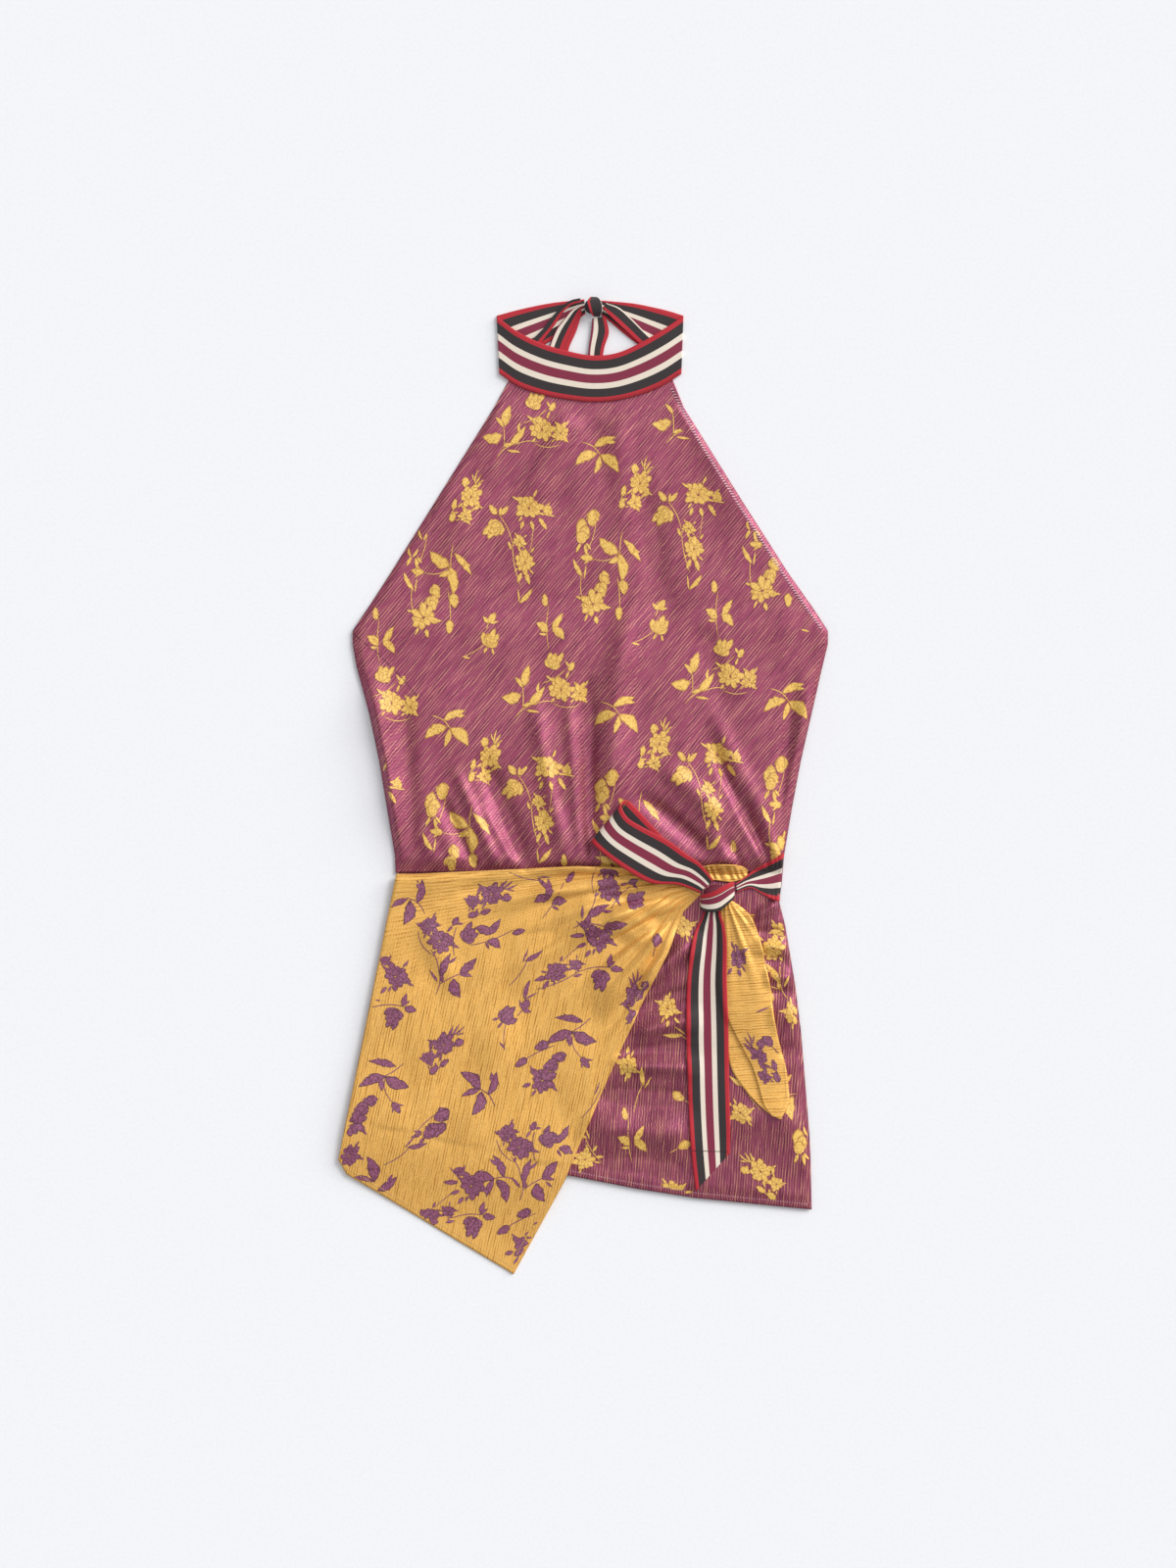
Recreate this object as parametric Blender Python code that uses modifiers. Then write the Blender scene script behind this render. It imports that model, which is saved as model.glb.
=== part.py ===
"""Halter-neck wrap top, laid flat with its front up, as separate solid pieces of cloth.

X runs across the top, Y runs up to the neck and Z up from the surface that it lies on.
Each piece is a grid of quads bent by a function of the sizes below, and Solidify gives
it the thickness of its wall. The tables hold millimetres, and table() turns them into
metres. A place along or across a piece runs from 0 to 1.
"""
import bmesh
import bpy
import numpy as np
from mathutils import Matrix

NAME = "wrap_top"
MM = 0.001

# Driving sizes
WALL = 1.2 * MM  # wall of every piece of cloth and ribbon
GAP = 0.4 * MM  # between pieces that are sewn together or lie on each other
WAIST = -78 * MM  # level of the waist seam
BACK_TOP = 122 * MM  # the back begins below the underarms
BACK_INSET = 3 * MM  # the back lies this far inside the front's outline
SEAM_GAP = 1 * MM  # at the waist seam, where the bodice's folds lean over it
REACH = 9 * MM  # a sheet clears whatever rises this far around each of its points
SIDE_CALM = 16 * MM  # folds die out over this distance from a side seam
SEAM_CALM = 22 * MM  # and over this one from the waist seam
ROLL = 1.2 * MM  # inner radius where the wrap's end folds back on itself


def table(columns, *rows):
    """Rows of millimetres, as one array in metres for each named column."""
    return dict(zip(columns.split(), np.array(rows, float).T * MM))


# Outline of the front: a row for each level, with the side edges there
SIDES = table(
    "level left right",
    (362, -66, 80),
    (337, -79.6, 90.1),
    (253, -132.1, 142.6),
    (190, -171.5, 182.9),
    (159, -191.6, 204.8),
    (138, -205.6, 218.4),
    (126, -205.6, 218.4),
    (106, -202.1, 213.5),
    (64, -190.8, 203.9),
    (22, -182, 194.3),
    (-20, -175, 186.4),
    (-62, -168, 179.4),
    (-83, -167, 177.6),
    (-104, -171.5, 175),
    (-125, -176.8, 180.3),
    (-177, -187.3, 189),
    (-219, -195.1, 194.3),
    (-261, -203.9, 197.8),
    (-314, -214.4, 202.1),
    (-335, -216, 203),
    (-380, -216, 203.9),
)
NECKLINE = table("x y", (-66, 362), (-34, 356), (8.8, 350.5), (51, 356.5), (80, 362))
HEM = table("x y", (-216, -303), (-110, -326), (-14, -347.8), (49, -360), (100, -368), (204, -378.4))

# Folds of the front, a row each: a soft ridge (or trough, below zero) along a straight run
FRONT_FOLDS = table(
    "x y x_end y_end width height",
    (-4, 198, 7, -25, 16, -2.5),
    (-18, 89, -31, -40, 14, 4),
    (39, 98, 39, -40, 16, 4.5),
    (52, 185, 109, 84, 11, 3),
    (109, 84, 157, 1, 11, 3.5),
    (48, 238, 118, 106, 15, -1.5),
    (-108, 1, -67, -60, 9, 4.5),
    (-75, -30, -44, -66, 8, 3),
    (-35, 67, -8, -60, 10, 3),
    (120, 52, 166, -14, 9, 3.5),
    (134, -7, 154, -38, 8, 3),
    (-182, 98, -160, -62, 12, 3),
    (194, 98, 176, -50, 10, 3),
    (-140, -60, 140, -60, 13, 3),
    (160, -118, 176, -111, 7, 3),
    (168, -160, 190, -176, 8, 3),
    (64, -158, 90, -166, 7, 3),
    (40, -200, 86, -207, 9, 1.5),
    (40, -256, 84, -260, 12, 1.5),
    (20, -300, 84, -305, 12, 1.5),
)
SWELL = 2.5 * MM  # the bodice blouses by this much above the waist
SWELL_TOP = 130 * MM
SWELL_BOTTOM = -20 * MM

# The wrap is a fan, whose folds run out from beside the knot to the outer rim
FAN_CENTRE = (107 * MM, -88 * MM)
FAN_START = 9 * MM  # the cloth begins at this distance from the centre
FAN_RIM = table(
    "x y",
    (-166.5, -80),
    (-180, -145),
    (-193.5, -210),
    (-206, -272),
    (-218.35, -334),
    (-211, -347),
    (-161.5, -376.5),
    (-112, -406.5),
    (-62, -436.2),
)
# How far out the fan's two edges bow from straight lines, at distances from the centre
FAN_EDGES = table(
    "distance top right",
    (9, 4.5, 2),
    (30, 8, -5),
    (70, 12, -1.5),
    (114, 11, -2.5),
    (182, 5.5, -1),
    (258, 0, 2.3),
    (294, 0, 4.5),
    (387, 0, 0),
)
THROAT_ARCH = 3.5 * MM  # the gathered cloth stands up by this much where it begins
THROAT_ARCH_LENGTH = 45 * MM
FLAP_REST = 3.2 * MM  # its underside, where it lies on the front
# Its pleats: place and width in hundredths of the fan from its upper edge, the rest in mm
FLAP_PLEATS = (
    # across, width, start, end, height
    (3, 3.5, 20, 370, 1.6),
    (13, 4.5, 30, 250, 3.0),
    (27, 5.0, 30, 200, 3.4),
    (42, 5.0, 30, 220, 3.0),
    (57, 4.5, 30, 190, 3.2),
    (71, 4.5, 30, 220, 3.0),
    (84, 4.5, 30, 180, 2.8),
    (95, 3.5, 30, 240, 1.6),
)
PLEAT_RISE = 60 * MM
PLEAT_FADE = 120 * MM

# Ribbons: a row for each section, with the places of its two edges, heights at mid wall
EDGES = "xa ya za xb yb zb"
COLLAR_FRONT = table(
    EDGES,
    (-77, 418.7, 2.2, -74.8, 367.5, 2.2),
    (-59.5, 405.6, 3.6, -56.9, 355.7, 2.3),
    (-36.8, 394.4, 3.9, -34.1, 348.2, 2.3),
    (-13.1, 387.4, 3.9, -11.4, 344.1, 2.3),
    (8.8, 383.5, 3.9, 8.8, 342.3, 2.3),
    (30.6, 385.9, 3.9, 29.8, 343.7, 2.3),
    (52.5, 395.7, 3.9, 51.6, 348.9, 2.3),
    (73.5, 408.2, 3.6, 70.9, 356.7, 2.3),
    (89.5, 419.3, 2.2, 87.7, 367.2, 2.2),
)
COLLAR_BACK_LEFT = table(
    EDGES,
    (-77, 419.3, 0.6, -74.8, 367.9, 0.6),
    (-60.5, 423.8, 0.6, -56.9, 381.1, 0.6),
    (-41.7, 428.1, 0.6, -35, 393.3, 0.6),
    (-26.6, 430.8, 0.6, -18, 404, 0.6),
    (-11.6, 432.5, 0.6, -6, 415, 0.6),
    (1, 434, 0.6, 2, 421, 0.6),
)
COLLAR_BACK_RIGHT = table(
    EDGES,
    (14, 433, 0.6, 14, 422, 0.6),
    (27.4, 431.9, 0.6, 24, 414, 0.6),
    (46.2, 430, 0.6, 42, 399, 0.6),
    (65, 426.2, 0.6, 62, 385, 0.6),
    (77.6, 423.1, 0.6, 76, 376, 0.6),
    (89.5, 419.3, 0.6, 87.5, 367.9, 0.6),
)
NECK_TIES = {
    "neck_tie_left_outer": table(
        EDGES,
        (-2.5, 434.4, 6.5, -2.5, 430.8, 6.5),
        (-11, 432.5, 5.5, -9.5, 429, 5.5),
        (-18, 428, 4.4, -14.5, 425.5, 4.4),
        (-26.6, 419.3, 3, -19.5, 420, 3.4),
        (-35.3, 408, 2.4, -25.5, 410.5, 2.6),
        (-45, 398, 2.3, -34.5, 399, 2.3),
        (-51.6, 390, 2.1, -42, 388, 2.1),
    ),
    "neck_tie_left_inner": table(
        EDGES,
        (-3.5, 427.6, 5.4, -1.8, 424, 5.4),
        (-10, 424, 4.2, -1.5, 420.5, 4.2),
        (-15.8, 417.5, 3.2, -3, 415, 3.2),
        (-24, 406.8, 2.6, -6.5, 404.2, 2.6),
        (-29.6, 393.6, 2.3, -12, 392, 2.3),
        (-32, 384.6, 2.3, -15, 380, 2.3),
    ),
    "neck_tie_right_inner": table(
        EDGES,
        (8, 416.5, 3, 20, 418.6, 3),
        (7.3, 406.8, 2.5, 23, 404.5, 2.5),
        (5, 390, 2.3, 19, 391, 2.3),
        (4.4, 377.6, 2.3, 16.6, 375.8, 2.3),
    ),
    "neck_tie_right_outer": table(
        EDGES,
        (17.5, 425.5, 6.4, 20.5, 430, 6.4),
        (27.4, 415.5, 4.8, 32.4, 425.7, 4.8),
        (39.9, 404.2, 3, 43, 416.5, 3),
        (49.9, 394.9, 2.4, 55, 404.5, 2.4),
        (57, 388, 2.3, 64.5, 396, 2.3),
    ),
}
NECK_BAND = table(
    EDGES,
    (4.5, 435.7, 6, 14.5, 435.3, 6),
    (4, 432.2, 11.3, 15, 432.6, 11.3),
    (5.2, 427, 12.6, 16.6, 427, 12.4),
    (7, 421.6, 11.2, 17, 421.4, 11),
    (9, 418.2, 6.6, 15.4, 417.8, 6.6),
)
WAIST_FOLD = table(
    EDGES,
    (104, -73, 4.2, 109, -83.4, 4.2),
    (115, -70.5, 4.2, 119, -84.6, 4.2),
    (130, -70.5, 4.2, 131, -86, 4.2),
    (141, -74.5, 4.2, 139, -84.5, 4.2),
    (147, -78.5, 4.2, 145.5, -82.5, 4.2),
)
WAIST_TIE_SIDE = table(
    EDGES,
    (178.6, -60.4, 3.8, 174.8, -103.2, 3.8),
    (165.7, -67.7, 5, 168, -101.2, 4.6),
    (153.7, -74.4, 6, 160.5, -97.5, 5.6),
    (143, -82.4, 7.5, 150, -91.5, 7.2),
    (136, -87.5, 9, 137, -95, 9),
)
BOW_LOOP_UNDER = table(
    EDGES,
    (112, -85.5, 10.8, 102.5, -92.5, 10.8),
    (100, -74, 10.4, 84, -86.5, 10.4),
    (80, -55, 9, 58, -79, 10),
    (63, -37.2, 7.6, 36, -68, 9),
    (50, -23, 7.2, 20, -57.5, 7.6),
    (41, -13.6, 7, 11, -49, 7.2),
)
BOW_LOOP_UPPER = table(
    EDGES,
    (40.5, -13.2, 8.8, 9, -50.5, 9),
    (36.4, -14, 13, 7.2, -50, 13),
    (34.1, -18.8, 17.5, 10.5, -53.8, 17),
    (40, -28.8, 20, 18.5, -60.8, 19),
    (53.4, -37.2, 20.8, 30, -69.5, 19.2),
    (75.2, -48.6, 20, 50.8, -82.7, 17.4),
    (91.9, -60.8, 18.6, 64, -87.4, 15.6),
    (103.2, -68.6, 17, 82, -88, 14),
    (110.5, -77, 15.4, 96, -92, 13),
    (116, -84.4, 14, 103.6, -95.4, 12.6),
)
BOW_TAIL = table(
    EDGES,
    (109, -106, 8, 121.6, -107.5, 8.6),
    (105.9, -117.7, 6.6, 122.5, -115, 8.6),
    (101.5, -125.6, 4.6, 126, -125.6, 8.6),
    (97.1, -140, 3.7, 127.8, -143.9, 8.6),
    (92.8, -173.7, 3.7, 127.8, -173.7, 8.6),
    (91.9, -217.4, 3.7, 129.5, -217.4, 8),
    (93, -255, 3.7, 130, -255, 6),
    (94.2, -290, 3.7, 130.8, -288, 4.4),
    (96.4, -326, 3.7, 131.2, -308, 3.8),
    (100.3, -361.8, 3.7, 130.8, -327.7, 3.7),
)
WAIST_BAND = table(
    EDGES,
    (105.2, -98.6, 8.6, 104.4, -107, 8.6),
    (106.4, -97.2, 14.2, 106.2, -110.5, 12.6),
    (114.2, -94.8, 19, 112, -112.6, 15.6),
    (122, -90.6, 20.2, 121, -111.4, 16.4),
    (130.2, -86.4, 18.2, 130.4, -104, 15.4),
    (134.2, -86, 12.4, 134.4, -99.5, 11),
)
# The end of the wrap, folded in two: the folded side, and the edges of both layers
WRAP_TAIL = table(
    "x_fold y_fold x_upper y_upper x_under y_under",
    (131, -102, 123, -108, 123, -108),
    (142, -109.5, 124, -116, 124, -116),
    (150.5, -119.5, 124, -127, 124, -127),
    (157.8, -139.3, 124, -143, 124, -143),
    (164.5, -156.4, 124, -160, 124, -160),
    (170, -180, 124, -182, 124, -182),
    (172.5, -205, 130, -207, 127, -207),
    (176.5, -230, 141, -230, 129, -233),
    (180, -250, 151.5, -250, 134, -254),
    (182.5, -268, 157.5, -268, 146, -272),
    (183, -282, 162, -284, 158, -285),
    (176, -297, 170, -294.5, 169, -294),
)
TAIL_REST = 3.9 * MM  # mid wall of the under layer
TAIL_PUFF = 1.6 * MM  # the upper layer stands up by this much below the knot
KNOTS = {
    # node: centre, half sizes
    "neck_knot": ((8.4, 427, 6.8), (7.4, 7, 4.4)),
    "waist_knot": ((119, -97.6, 12), (11.6, 9.6, 5)),
}

# Material: colour (linear), roughness
PURPLE = ((0.33, 0.10, 0.20), 0.45)
YELLOW = ((0.72, 0.42, 0.09), 0.45)
STRIPED = ((0.33, 0.05, 0.07), 0.7)
METALLIC = 0.0


# ---------------------------------------------------------------- curves and heights
def ease(value):
    """Smooth step: 0 below 0, 1 above 1."""
    value = np.clip(value, 0, 1)
    return value * value * (3 - 2 * value)


def smooth(values, place):
    """Catmull-Rom curve through the values, read at places from 0 to 1."""
    values = np.concatenate([[2 * values[0] - values[1]], values, [2 * values[-1] - values[-2]]])
    spans = len(values) - 3
    along = np.clip(place, 0, 1) * spans
    first = np.minimum(along.astype(int), spans - 1)
    f = along - first
    p0, p1, p2, p3 = (values[first + k] for k in range(4))
    bend = (2 * p0 - 5 * p1 + 4 * p2 - p3) * f + (3 * p1 - p0 - 3 * p2 + p3) * f * f
    return p1 + 0.5 * f * (p2 - p0 + bend)


def polyline(values, place):
    """Straight runs through the values, read at places from 0 to 1."""
    return np.interp(place, np.linspace(0, 1, len(values)), values)


def side(name, level):
    """X of the left or right edge of the front at a level."""
    return np.interp(level, SIDES["level"][::-1], SIDES[name][::-1])


def hem(x):
    return np.interp(x, HEM["x"], HEM["y"])


def neckline(x):
    return np.interp(x, NECKLINE["x"], NECKLINE["y"])


def front_under(x, y):
    """Underside of the front panels: on the surface, then on the back, with the folds."""
    on_back = (WALL + GAP) * ease((BACK_TOP + 45 * MM - y) / (30 * MM))
    folds = SWELL * ease((SWELL_TOP - y) / (SWELL_TOP - SWELL_BOTTOM)) * (y > WAIST)
    for x0, y0, x1, y1, width, height in zip(*FRONT_FOLDS.values()):
        run_x, run_y = x1 - x0, y1 - y0
        along = ((x - x0) * run_x + (y - y0) * run_y) / (run_x**2 + run_y**2)
        along = np.clip(along, 0, 1)
        away = np.hypot(x - x0 - along * run_x, y - y0 - along * run_y)
        folds = folds + height * np.exp(-((away / width) ** 2))
    from_side = np.minimum(x - side("left", y), side("right", y) - x)
    calm = ease(from_side / SIDE_CALM) * ease(abs(y - WAIST) / SEAM_CALM)
    return on_back + np.maximum(folds, 0) * calm


def front_top(x, y):
    """Top of the front panels within their outline, and the bare surface outside it."""
    inside = (y > hem(x)) & (y < neckline(x)) & (x > side("left", y)) & (x < side("right", y))
    return np.where(inside, front_under(x, y) + WALL, 0)


def clear_of_front(x, y):
    """Just above the highest point of the front within reach, or the surface beside it."""
    steps = (-REACH, 0, REACH)
    highest = np.max([front_top(x + dx, y + dy) for dx in steps for dy in steps], axis=0)
    return np.where(highest > 0, highest + GAP, 0)


# ---------------------------------------------------------------- sheets: u across, v along
def bodice(u, v):
    level = polyline(NECKLINE["y"], u) * (1 - v) + WAIST * v
    left, right = side("left", level), side("right", level)
    x = left + (right - left) * u
    return x, level, front_under(x, level)


def skirt(u, v):
    x = across_sides(u, v, WAIST, BACK_INSET, 0)
    y = (WAIST - SEAM_GAP) * (1 - v) + hem(x) * v
    return x, y, front_under(x, y)


def back(u, v):
    x = across_sides(u, v, BACK_TOP, BACK_INSET, BACK_INSET)
    y = BACK_TOP * (1 - v) + (hem(x) + BACK_INSET) * v
    return x, y, np.zeros_like(x)


def across_sides(u, v, top, left_inset, right_inset):
    """X between the sides of a panel that reaches from its top down to both ends of the hem."""
    left = side("left", top + (HEM["y"][0] - top) * v) + left_inset
    right = side("right", top + (HEM["y"][-1] - top) * v) - right_inset
    return left + (right - left) * u


def rim_rays():
    """Direction of each row of the fan's rim from its centre, and its place beside it."""
    x, y = FAN_RIM["x"] - FAN_CENTRE[0], FAN_RIM["y"] - FAN_CENTRE[1]
    return np.arctan2(y, x) % (2 * np.pi), x, y


def bows(distance):
    """Angles by which the fan's upper and right edges bow out at a distance from its centre."""
    edges = (np.interp(distance, FAN_EDGES["distance"], FAN_EDGES[name]) for name in ("top", "right"))
    return [edge / distance for edge in edges]


def flap_height(x, y):
    """The wrap's underside: clear of the front, down past its hem, with pleats like rays."""
    rays, _, _ = rim_rays()
    x_out, y_out = x - FAN_CENTRE[0], y - FAN_CENTRE[1]
    distance = np.maximum(np.hypot(x_out, y_out), FAN_START)
    top, right = bows(distance)
    turned = np.arctan2(y_out, x_out) % (2 * np.pi) - rays[0] + top
    across = np.clip(turned / (rays[-1] - rays[0] + top + right), 0, 1)
    z = np.maximum(FLAP_REST, clear_of_front(x, y))
    z = z * ease((y - hem(x) + 4 * REACH) / (2 * REACH))
    for place, width, start, end, height in FLAP_PLEATS:
        run = ease((distance - start * MM) / PLEAT_RISE) * ease((end * MM - distance) / PLEAT_FADE)
        z = z + height * MM * run * np.exp(-(((across * 100 - place) / width) ** 2))
    arch = np.exp((FAN_START - distance) / THROAT_ARCH_LENGTH)
    return z + THROAT_ARCH * arch * np.sin(np.pi * across)


def flap(u, v):
    """The wrap as a fan: u turns from its upper edge to its right one, v runs out to its rim."""
    rays, rim_x, rim_y = rim_rays()
    angle = polyline(rays, u)
    row = np.minimum((u * (len(rays) - 1)).astype(int), len(rays) - 2)
    x0, y0, run_x, run_y = rim_x[row], rim_y[row], np.diff(rim_x)[row], np.diff(rim_y)[row]
    rim = (x0 * run_y - y0 * run_x) / (np.cos(angle) * run_y - np.sin(angle) * run_x)
    distance = FAN_START + (rim - FAN_START) * v
    top, right = bows(distance)
    across = (angle - rays[0]) / (rays[-1] - rays[0])
    angle = angle - top * (1 - across) + right * across
    x = FAN_CENTRE[0] + distance * np.cos(angle)
    y = FAN_CENTRE[1] + distance * np.sin(angle)
    return x, y, flap_height(x, y)


def ribbon(rows, on_front):
    """A strip between two smooth edges, v along it and u across, clear of a front below it."""

    def surface(u, v):
        a, b = ([smooth(rows[axis + edge], v) for axis in "xyz"] for edge in "ab")
        x, y, z = (start * (1 - u) + end * u for start, end in zip(a, b))
        return x, y, np.maximum(z, clear_of_front(x, y) + WALL / 2) if on_front else z

    return surface


def wrap_tail(u, v):
    """Two layers joined along a fold: u runs over the under layer, the fold and the upper."""
    fold_x, fold_y, upper_x, upper_y, under_x, under_y = (smooth(rail, v) for rail in WRAP_TAIL.values())
    turn = np.clip((u - 0.4) / 0.2, 0, 1) * np.pi  # half turn round the fold
    inward = np.where(u < 0.5, 1 - u / 0.4, (u - 0.6) / 0.4).clip(0, 1)
    radius = (ROLL + WALL) / 2
    edge_x = np.where(u < 0.5, under_x, upper_x)
    edge_y = np.where(u < 0.5, under_y, upper_y)
    x = fold_x + (edge_x - fold_x) * inward - radius + radius * np.sin(turn)
    y = fold_y + (edge_y - fold_y) * inward
    lift = radius * (1 - np.cos(turn))
    puff = TAIL_PUFF * np.sin(np.pi * inward) * (u > 0.5) * ease((1 - v) / 0.5)
    return x, y, np.maximum(TAIL_REST, clear_of_front(x, y) + WALL / 2) + lift + puff


# ---------------------------------------------------------------- making the solids
def collection(name):
    made = bpy.data.collections.new(name)
    bpy.context.scene.collection.children.link(made)
    return made


def material(name, finish):
    colour, roughness = finish
    made = bpy.data.materials.new(name)
    made.use_nodes = True
    shader = made.node_tree.nodes["Principled BSDF"]
    shader.inputs["Base Color"].default_value = (*colour, 1)
    shader.inputs["Roughness"].default_value = roughness
    shader.inputs["Metallic"].default_value = METALLIC
    made.diffuse_color = (*colour, 1)
    return made


def add(name, bm, finish, home):
    mesh = bpy.data.meshes.new(name)
    bm.to_mesh(mesh)
    bm.free()
    mesh.shade_smooth()
    mesh.set_sharp_from_angle(angle=np.radians(50))
    mesh.materials.append(material(name, finish))
    made = bpy.data.objects.new(name, mesh)
    home.objects.link(made)
    return made


def sheet(name, surface, across, along, finish, home, offset):
    """A grid bent by the surface and thickened; offset is 1 above it, 0 half to each side."""
    bm = bmesh.new()
    bmesh.ops.create_grid(bm, x_segments=across, y_segments=along, size=0.5)
    flat = np.array([vert.co for vert in bm.verts]) + 0.5
    bent = np.stack(surface(flat[:, 0], flat[:, 1]), axis=1)
    for vert, place in zip(bm.verts, bent):
        vert.co = place
    up = sum(face.normal.z * face.calc_area() for face in update(bm).faces)
    if up < 0:
        bmesh.ops.reverse_faces(bm, faces=bm.faces)
    made = add(name, bm, finish, home)
    wall = made.modifiers.new("Wall", "SOLIDIFY")
    wall.thickness = WALL
    wall.offset = offset
    return made


def update(bm):
    bm.normal_update()
    return bm


def knot(name, centre, half, finish, home):
    """The core of a knot, a rounded body that the ribbon's band passes over."""
    bm = bmesh.new()
    bmesh.ops.create_uvsphere(bm, u_segments=14, v_segments=8, radius=MM)
    bmesh.ops.scale(bm, vec=half, verts=bm.verts)
    bmesh.ops.transform(bm, matrix=Matrix.Translation([c * MM for c in centre]), verts=bm.verts)
    return add(name, bm, finish, home)


def main():
    for old in list(bpy.data.objects):
        bpy.data.objects.remove(old)
    home = collection(NAME)
    panels = (
        # node, surface, across, along, finish
        ("back_panel", back, 8, 14, PURPLE),
        ("front_bodice", bodice, 28, 36, PURPLE),
        ("front_skirt", skirt, 20, 20, PURPLE),
        ("wrap_flap", flap, 32, 16, YELLOW),
    )
    for name, surface, across, along, finish in panels:
        sheet(name, surface, across, along, finish, home, offset=1)
    sheet("wrap_waist_fold", ribbon(WAIST_FOLD, True), 4, 8, YELLOW, home, offset=0)
    sheet("wrap_tail", wrap_tail, 15, 18, YELLOW, home, offset=0)
    strips = {
        # node: rows, segments along, whether it lies on the front
        "collar_front": (COLLAR_FRONT, 24, False),
        "collar_back_left": (COLLAR_BACK_LEFT, 10, False),
        "collar_back_right": (COLLAR_BACK_RIGHT, 10, False),
        **{name: (rows, 8, False) for name, rows in NECK_TIES.items()},
        "neck_knot_band": (NECK_BAND, 8, False),
        "waist_tie_side": (WAIST_TIE_SIDE, 8, True),
        "bow_loop_under": (BOW_LOOP_UNDER, 12, True),
        "bow_loop_upper": (BOW_LOOP_UPPER, 22, True),
        "bow_tail": (BOW_TAIL, 20, True),
        "waist_knot_band": (WAIST_BAND, 12, False),
    }
    for name, (rows, along, on_front) in strips.items():
        sheet(name, ribbon(rows, on_front), 4, along, STRIPED, home, offset=0)
    for name, (centre, half) in KNOTS.items():
        knot(name, centre, half, STRIPED, home)


main()
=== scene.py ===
"""Looks of a halter-neck wrap top, laid flat with its front up: cloth, pattern, ribbons and stage.

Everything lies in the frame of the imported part: X runs across the top, Y up to the neck and
Z up from the surface below. Tables hold millimetres and degrees, and table() turns them into
metres. A place along or across a piece runs from 0 to 1.
"""

import bpy
import numpy as np
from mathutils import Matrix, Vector


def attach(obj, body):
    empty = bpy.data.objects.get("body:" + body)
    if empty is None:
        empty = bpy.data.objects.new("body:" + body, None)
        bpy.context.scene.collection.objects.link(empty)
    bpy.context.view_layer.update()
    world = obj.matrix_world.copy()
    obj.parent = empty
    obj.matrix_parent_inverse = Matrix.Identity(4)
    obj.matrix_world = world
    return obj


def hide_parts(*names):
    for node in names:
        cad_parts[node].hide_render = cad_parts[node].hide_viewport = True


bl_info = {
    "name": "Halter wrap top",
    "version": (1, 0, 0),
    "blender": (4, 5, 0),
    "location": "3D View > Sidebar > Wrap Top",
    "description": "Dresses the solids of a halter-neck wrap top with cloth, pattern and ribbons",
    "category": "Object",
}

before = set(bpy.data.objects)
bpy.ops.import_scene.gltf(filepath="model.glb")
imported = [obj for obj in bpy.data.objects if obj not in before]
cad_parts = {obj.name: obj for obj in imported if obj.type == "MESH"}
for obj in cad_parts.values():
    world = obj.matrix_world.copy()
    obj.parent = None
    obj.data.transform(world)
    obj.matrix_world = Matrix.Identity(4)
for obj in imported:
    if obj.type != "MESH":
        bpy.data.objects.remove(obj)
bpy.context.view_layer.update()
MM = 0.001

# Sizes of the solids that the shells lie on, and how the sheets ride on each other
WALL = 1.2 * MM
GAP = 0.4 * MM  # between two sheets
WAIST = -78 * MM
BACK_TOP = 122 * MM
BACK_INSET = 3 * MM  # of the back from the front's sides and hem
BACK_STEP = 45 * MM  # the front comes down off the back's upper edge from this far above it
BACK_STEP_LENGTH = 30 * MM
SEAM_GAP = 0.3 * MM
DRAPE = 3.5 * MM  # a sheet clears whatever rises this far around each of its points
SIDE_CALM = 7 * MM  # folds die out this far from the sides, and from the waist and hem below
SEAM_CALM = 14 * MM
NECK_CALM = 22 * MM
OVER_HEM = 5.4 * MM  # height at which the wrap runs on past the front's hem
OVER_HEM_START = 45 * MM
OVER_HEM_LENGTH = 27 * MM
ON_SURFACE = 72 * MM  # how far past the hem it lies on the surface again
ROLL = 1.2 * MM  # between the two layers of a rolled fold


def grid(text):
    """Rows of numbers, with commas between the rows."""
    return np.array([row.split() for row in text.split(",")], float)


def table(columns, text):
    """A grid of millimetres, as one array in metres for each named column."""
    return dict(zip(columns.split(), grid(text).T * MM))


def named_rows(text):
    """Rows of a word and its numbers, with commas between the rows."""
    return [(word, *map(float, figures)) for word, *figures in map(str.split, text.split(","))]


SIDES = table("level left right", """
    362 -66 80, 337 -79.6 90.1, 253 -132.1 142.6, 190 -171.5 182.9, 159 -191.6 204.8,
    138 -205.6 218.4, 126 -205.6 218.4, 106 -202.1 213.5, 64 -190.8 203.9, 22 -182 194.3,
    -20 -175 186.4, -62 -168 179.4, -83 -167 177.6, -104 -171.5 175, -125 -176.8 180.3,
    -177 -187.3 189, -219 -195.1 194.3, -261 -203.9 197.8, -314 -214.4 202.1, -335 -216 203,
    -380 -216 203.9
""")
NECKLINE = table("x y", "-66 362, -34 356, 8.8 350.5, 51 356.5, 80 362")
HEM = table("x y", "-216 -303, -110 -326, -14 -347.8, 49 -360, 100 -368, 204 -378.4")

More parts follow.
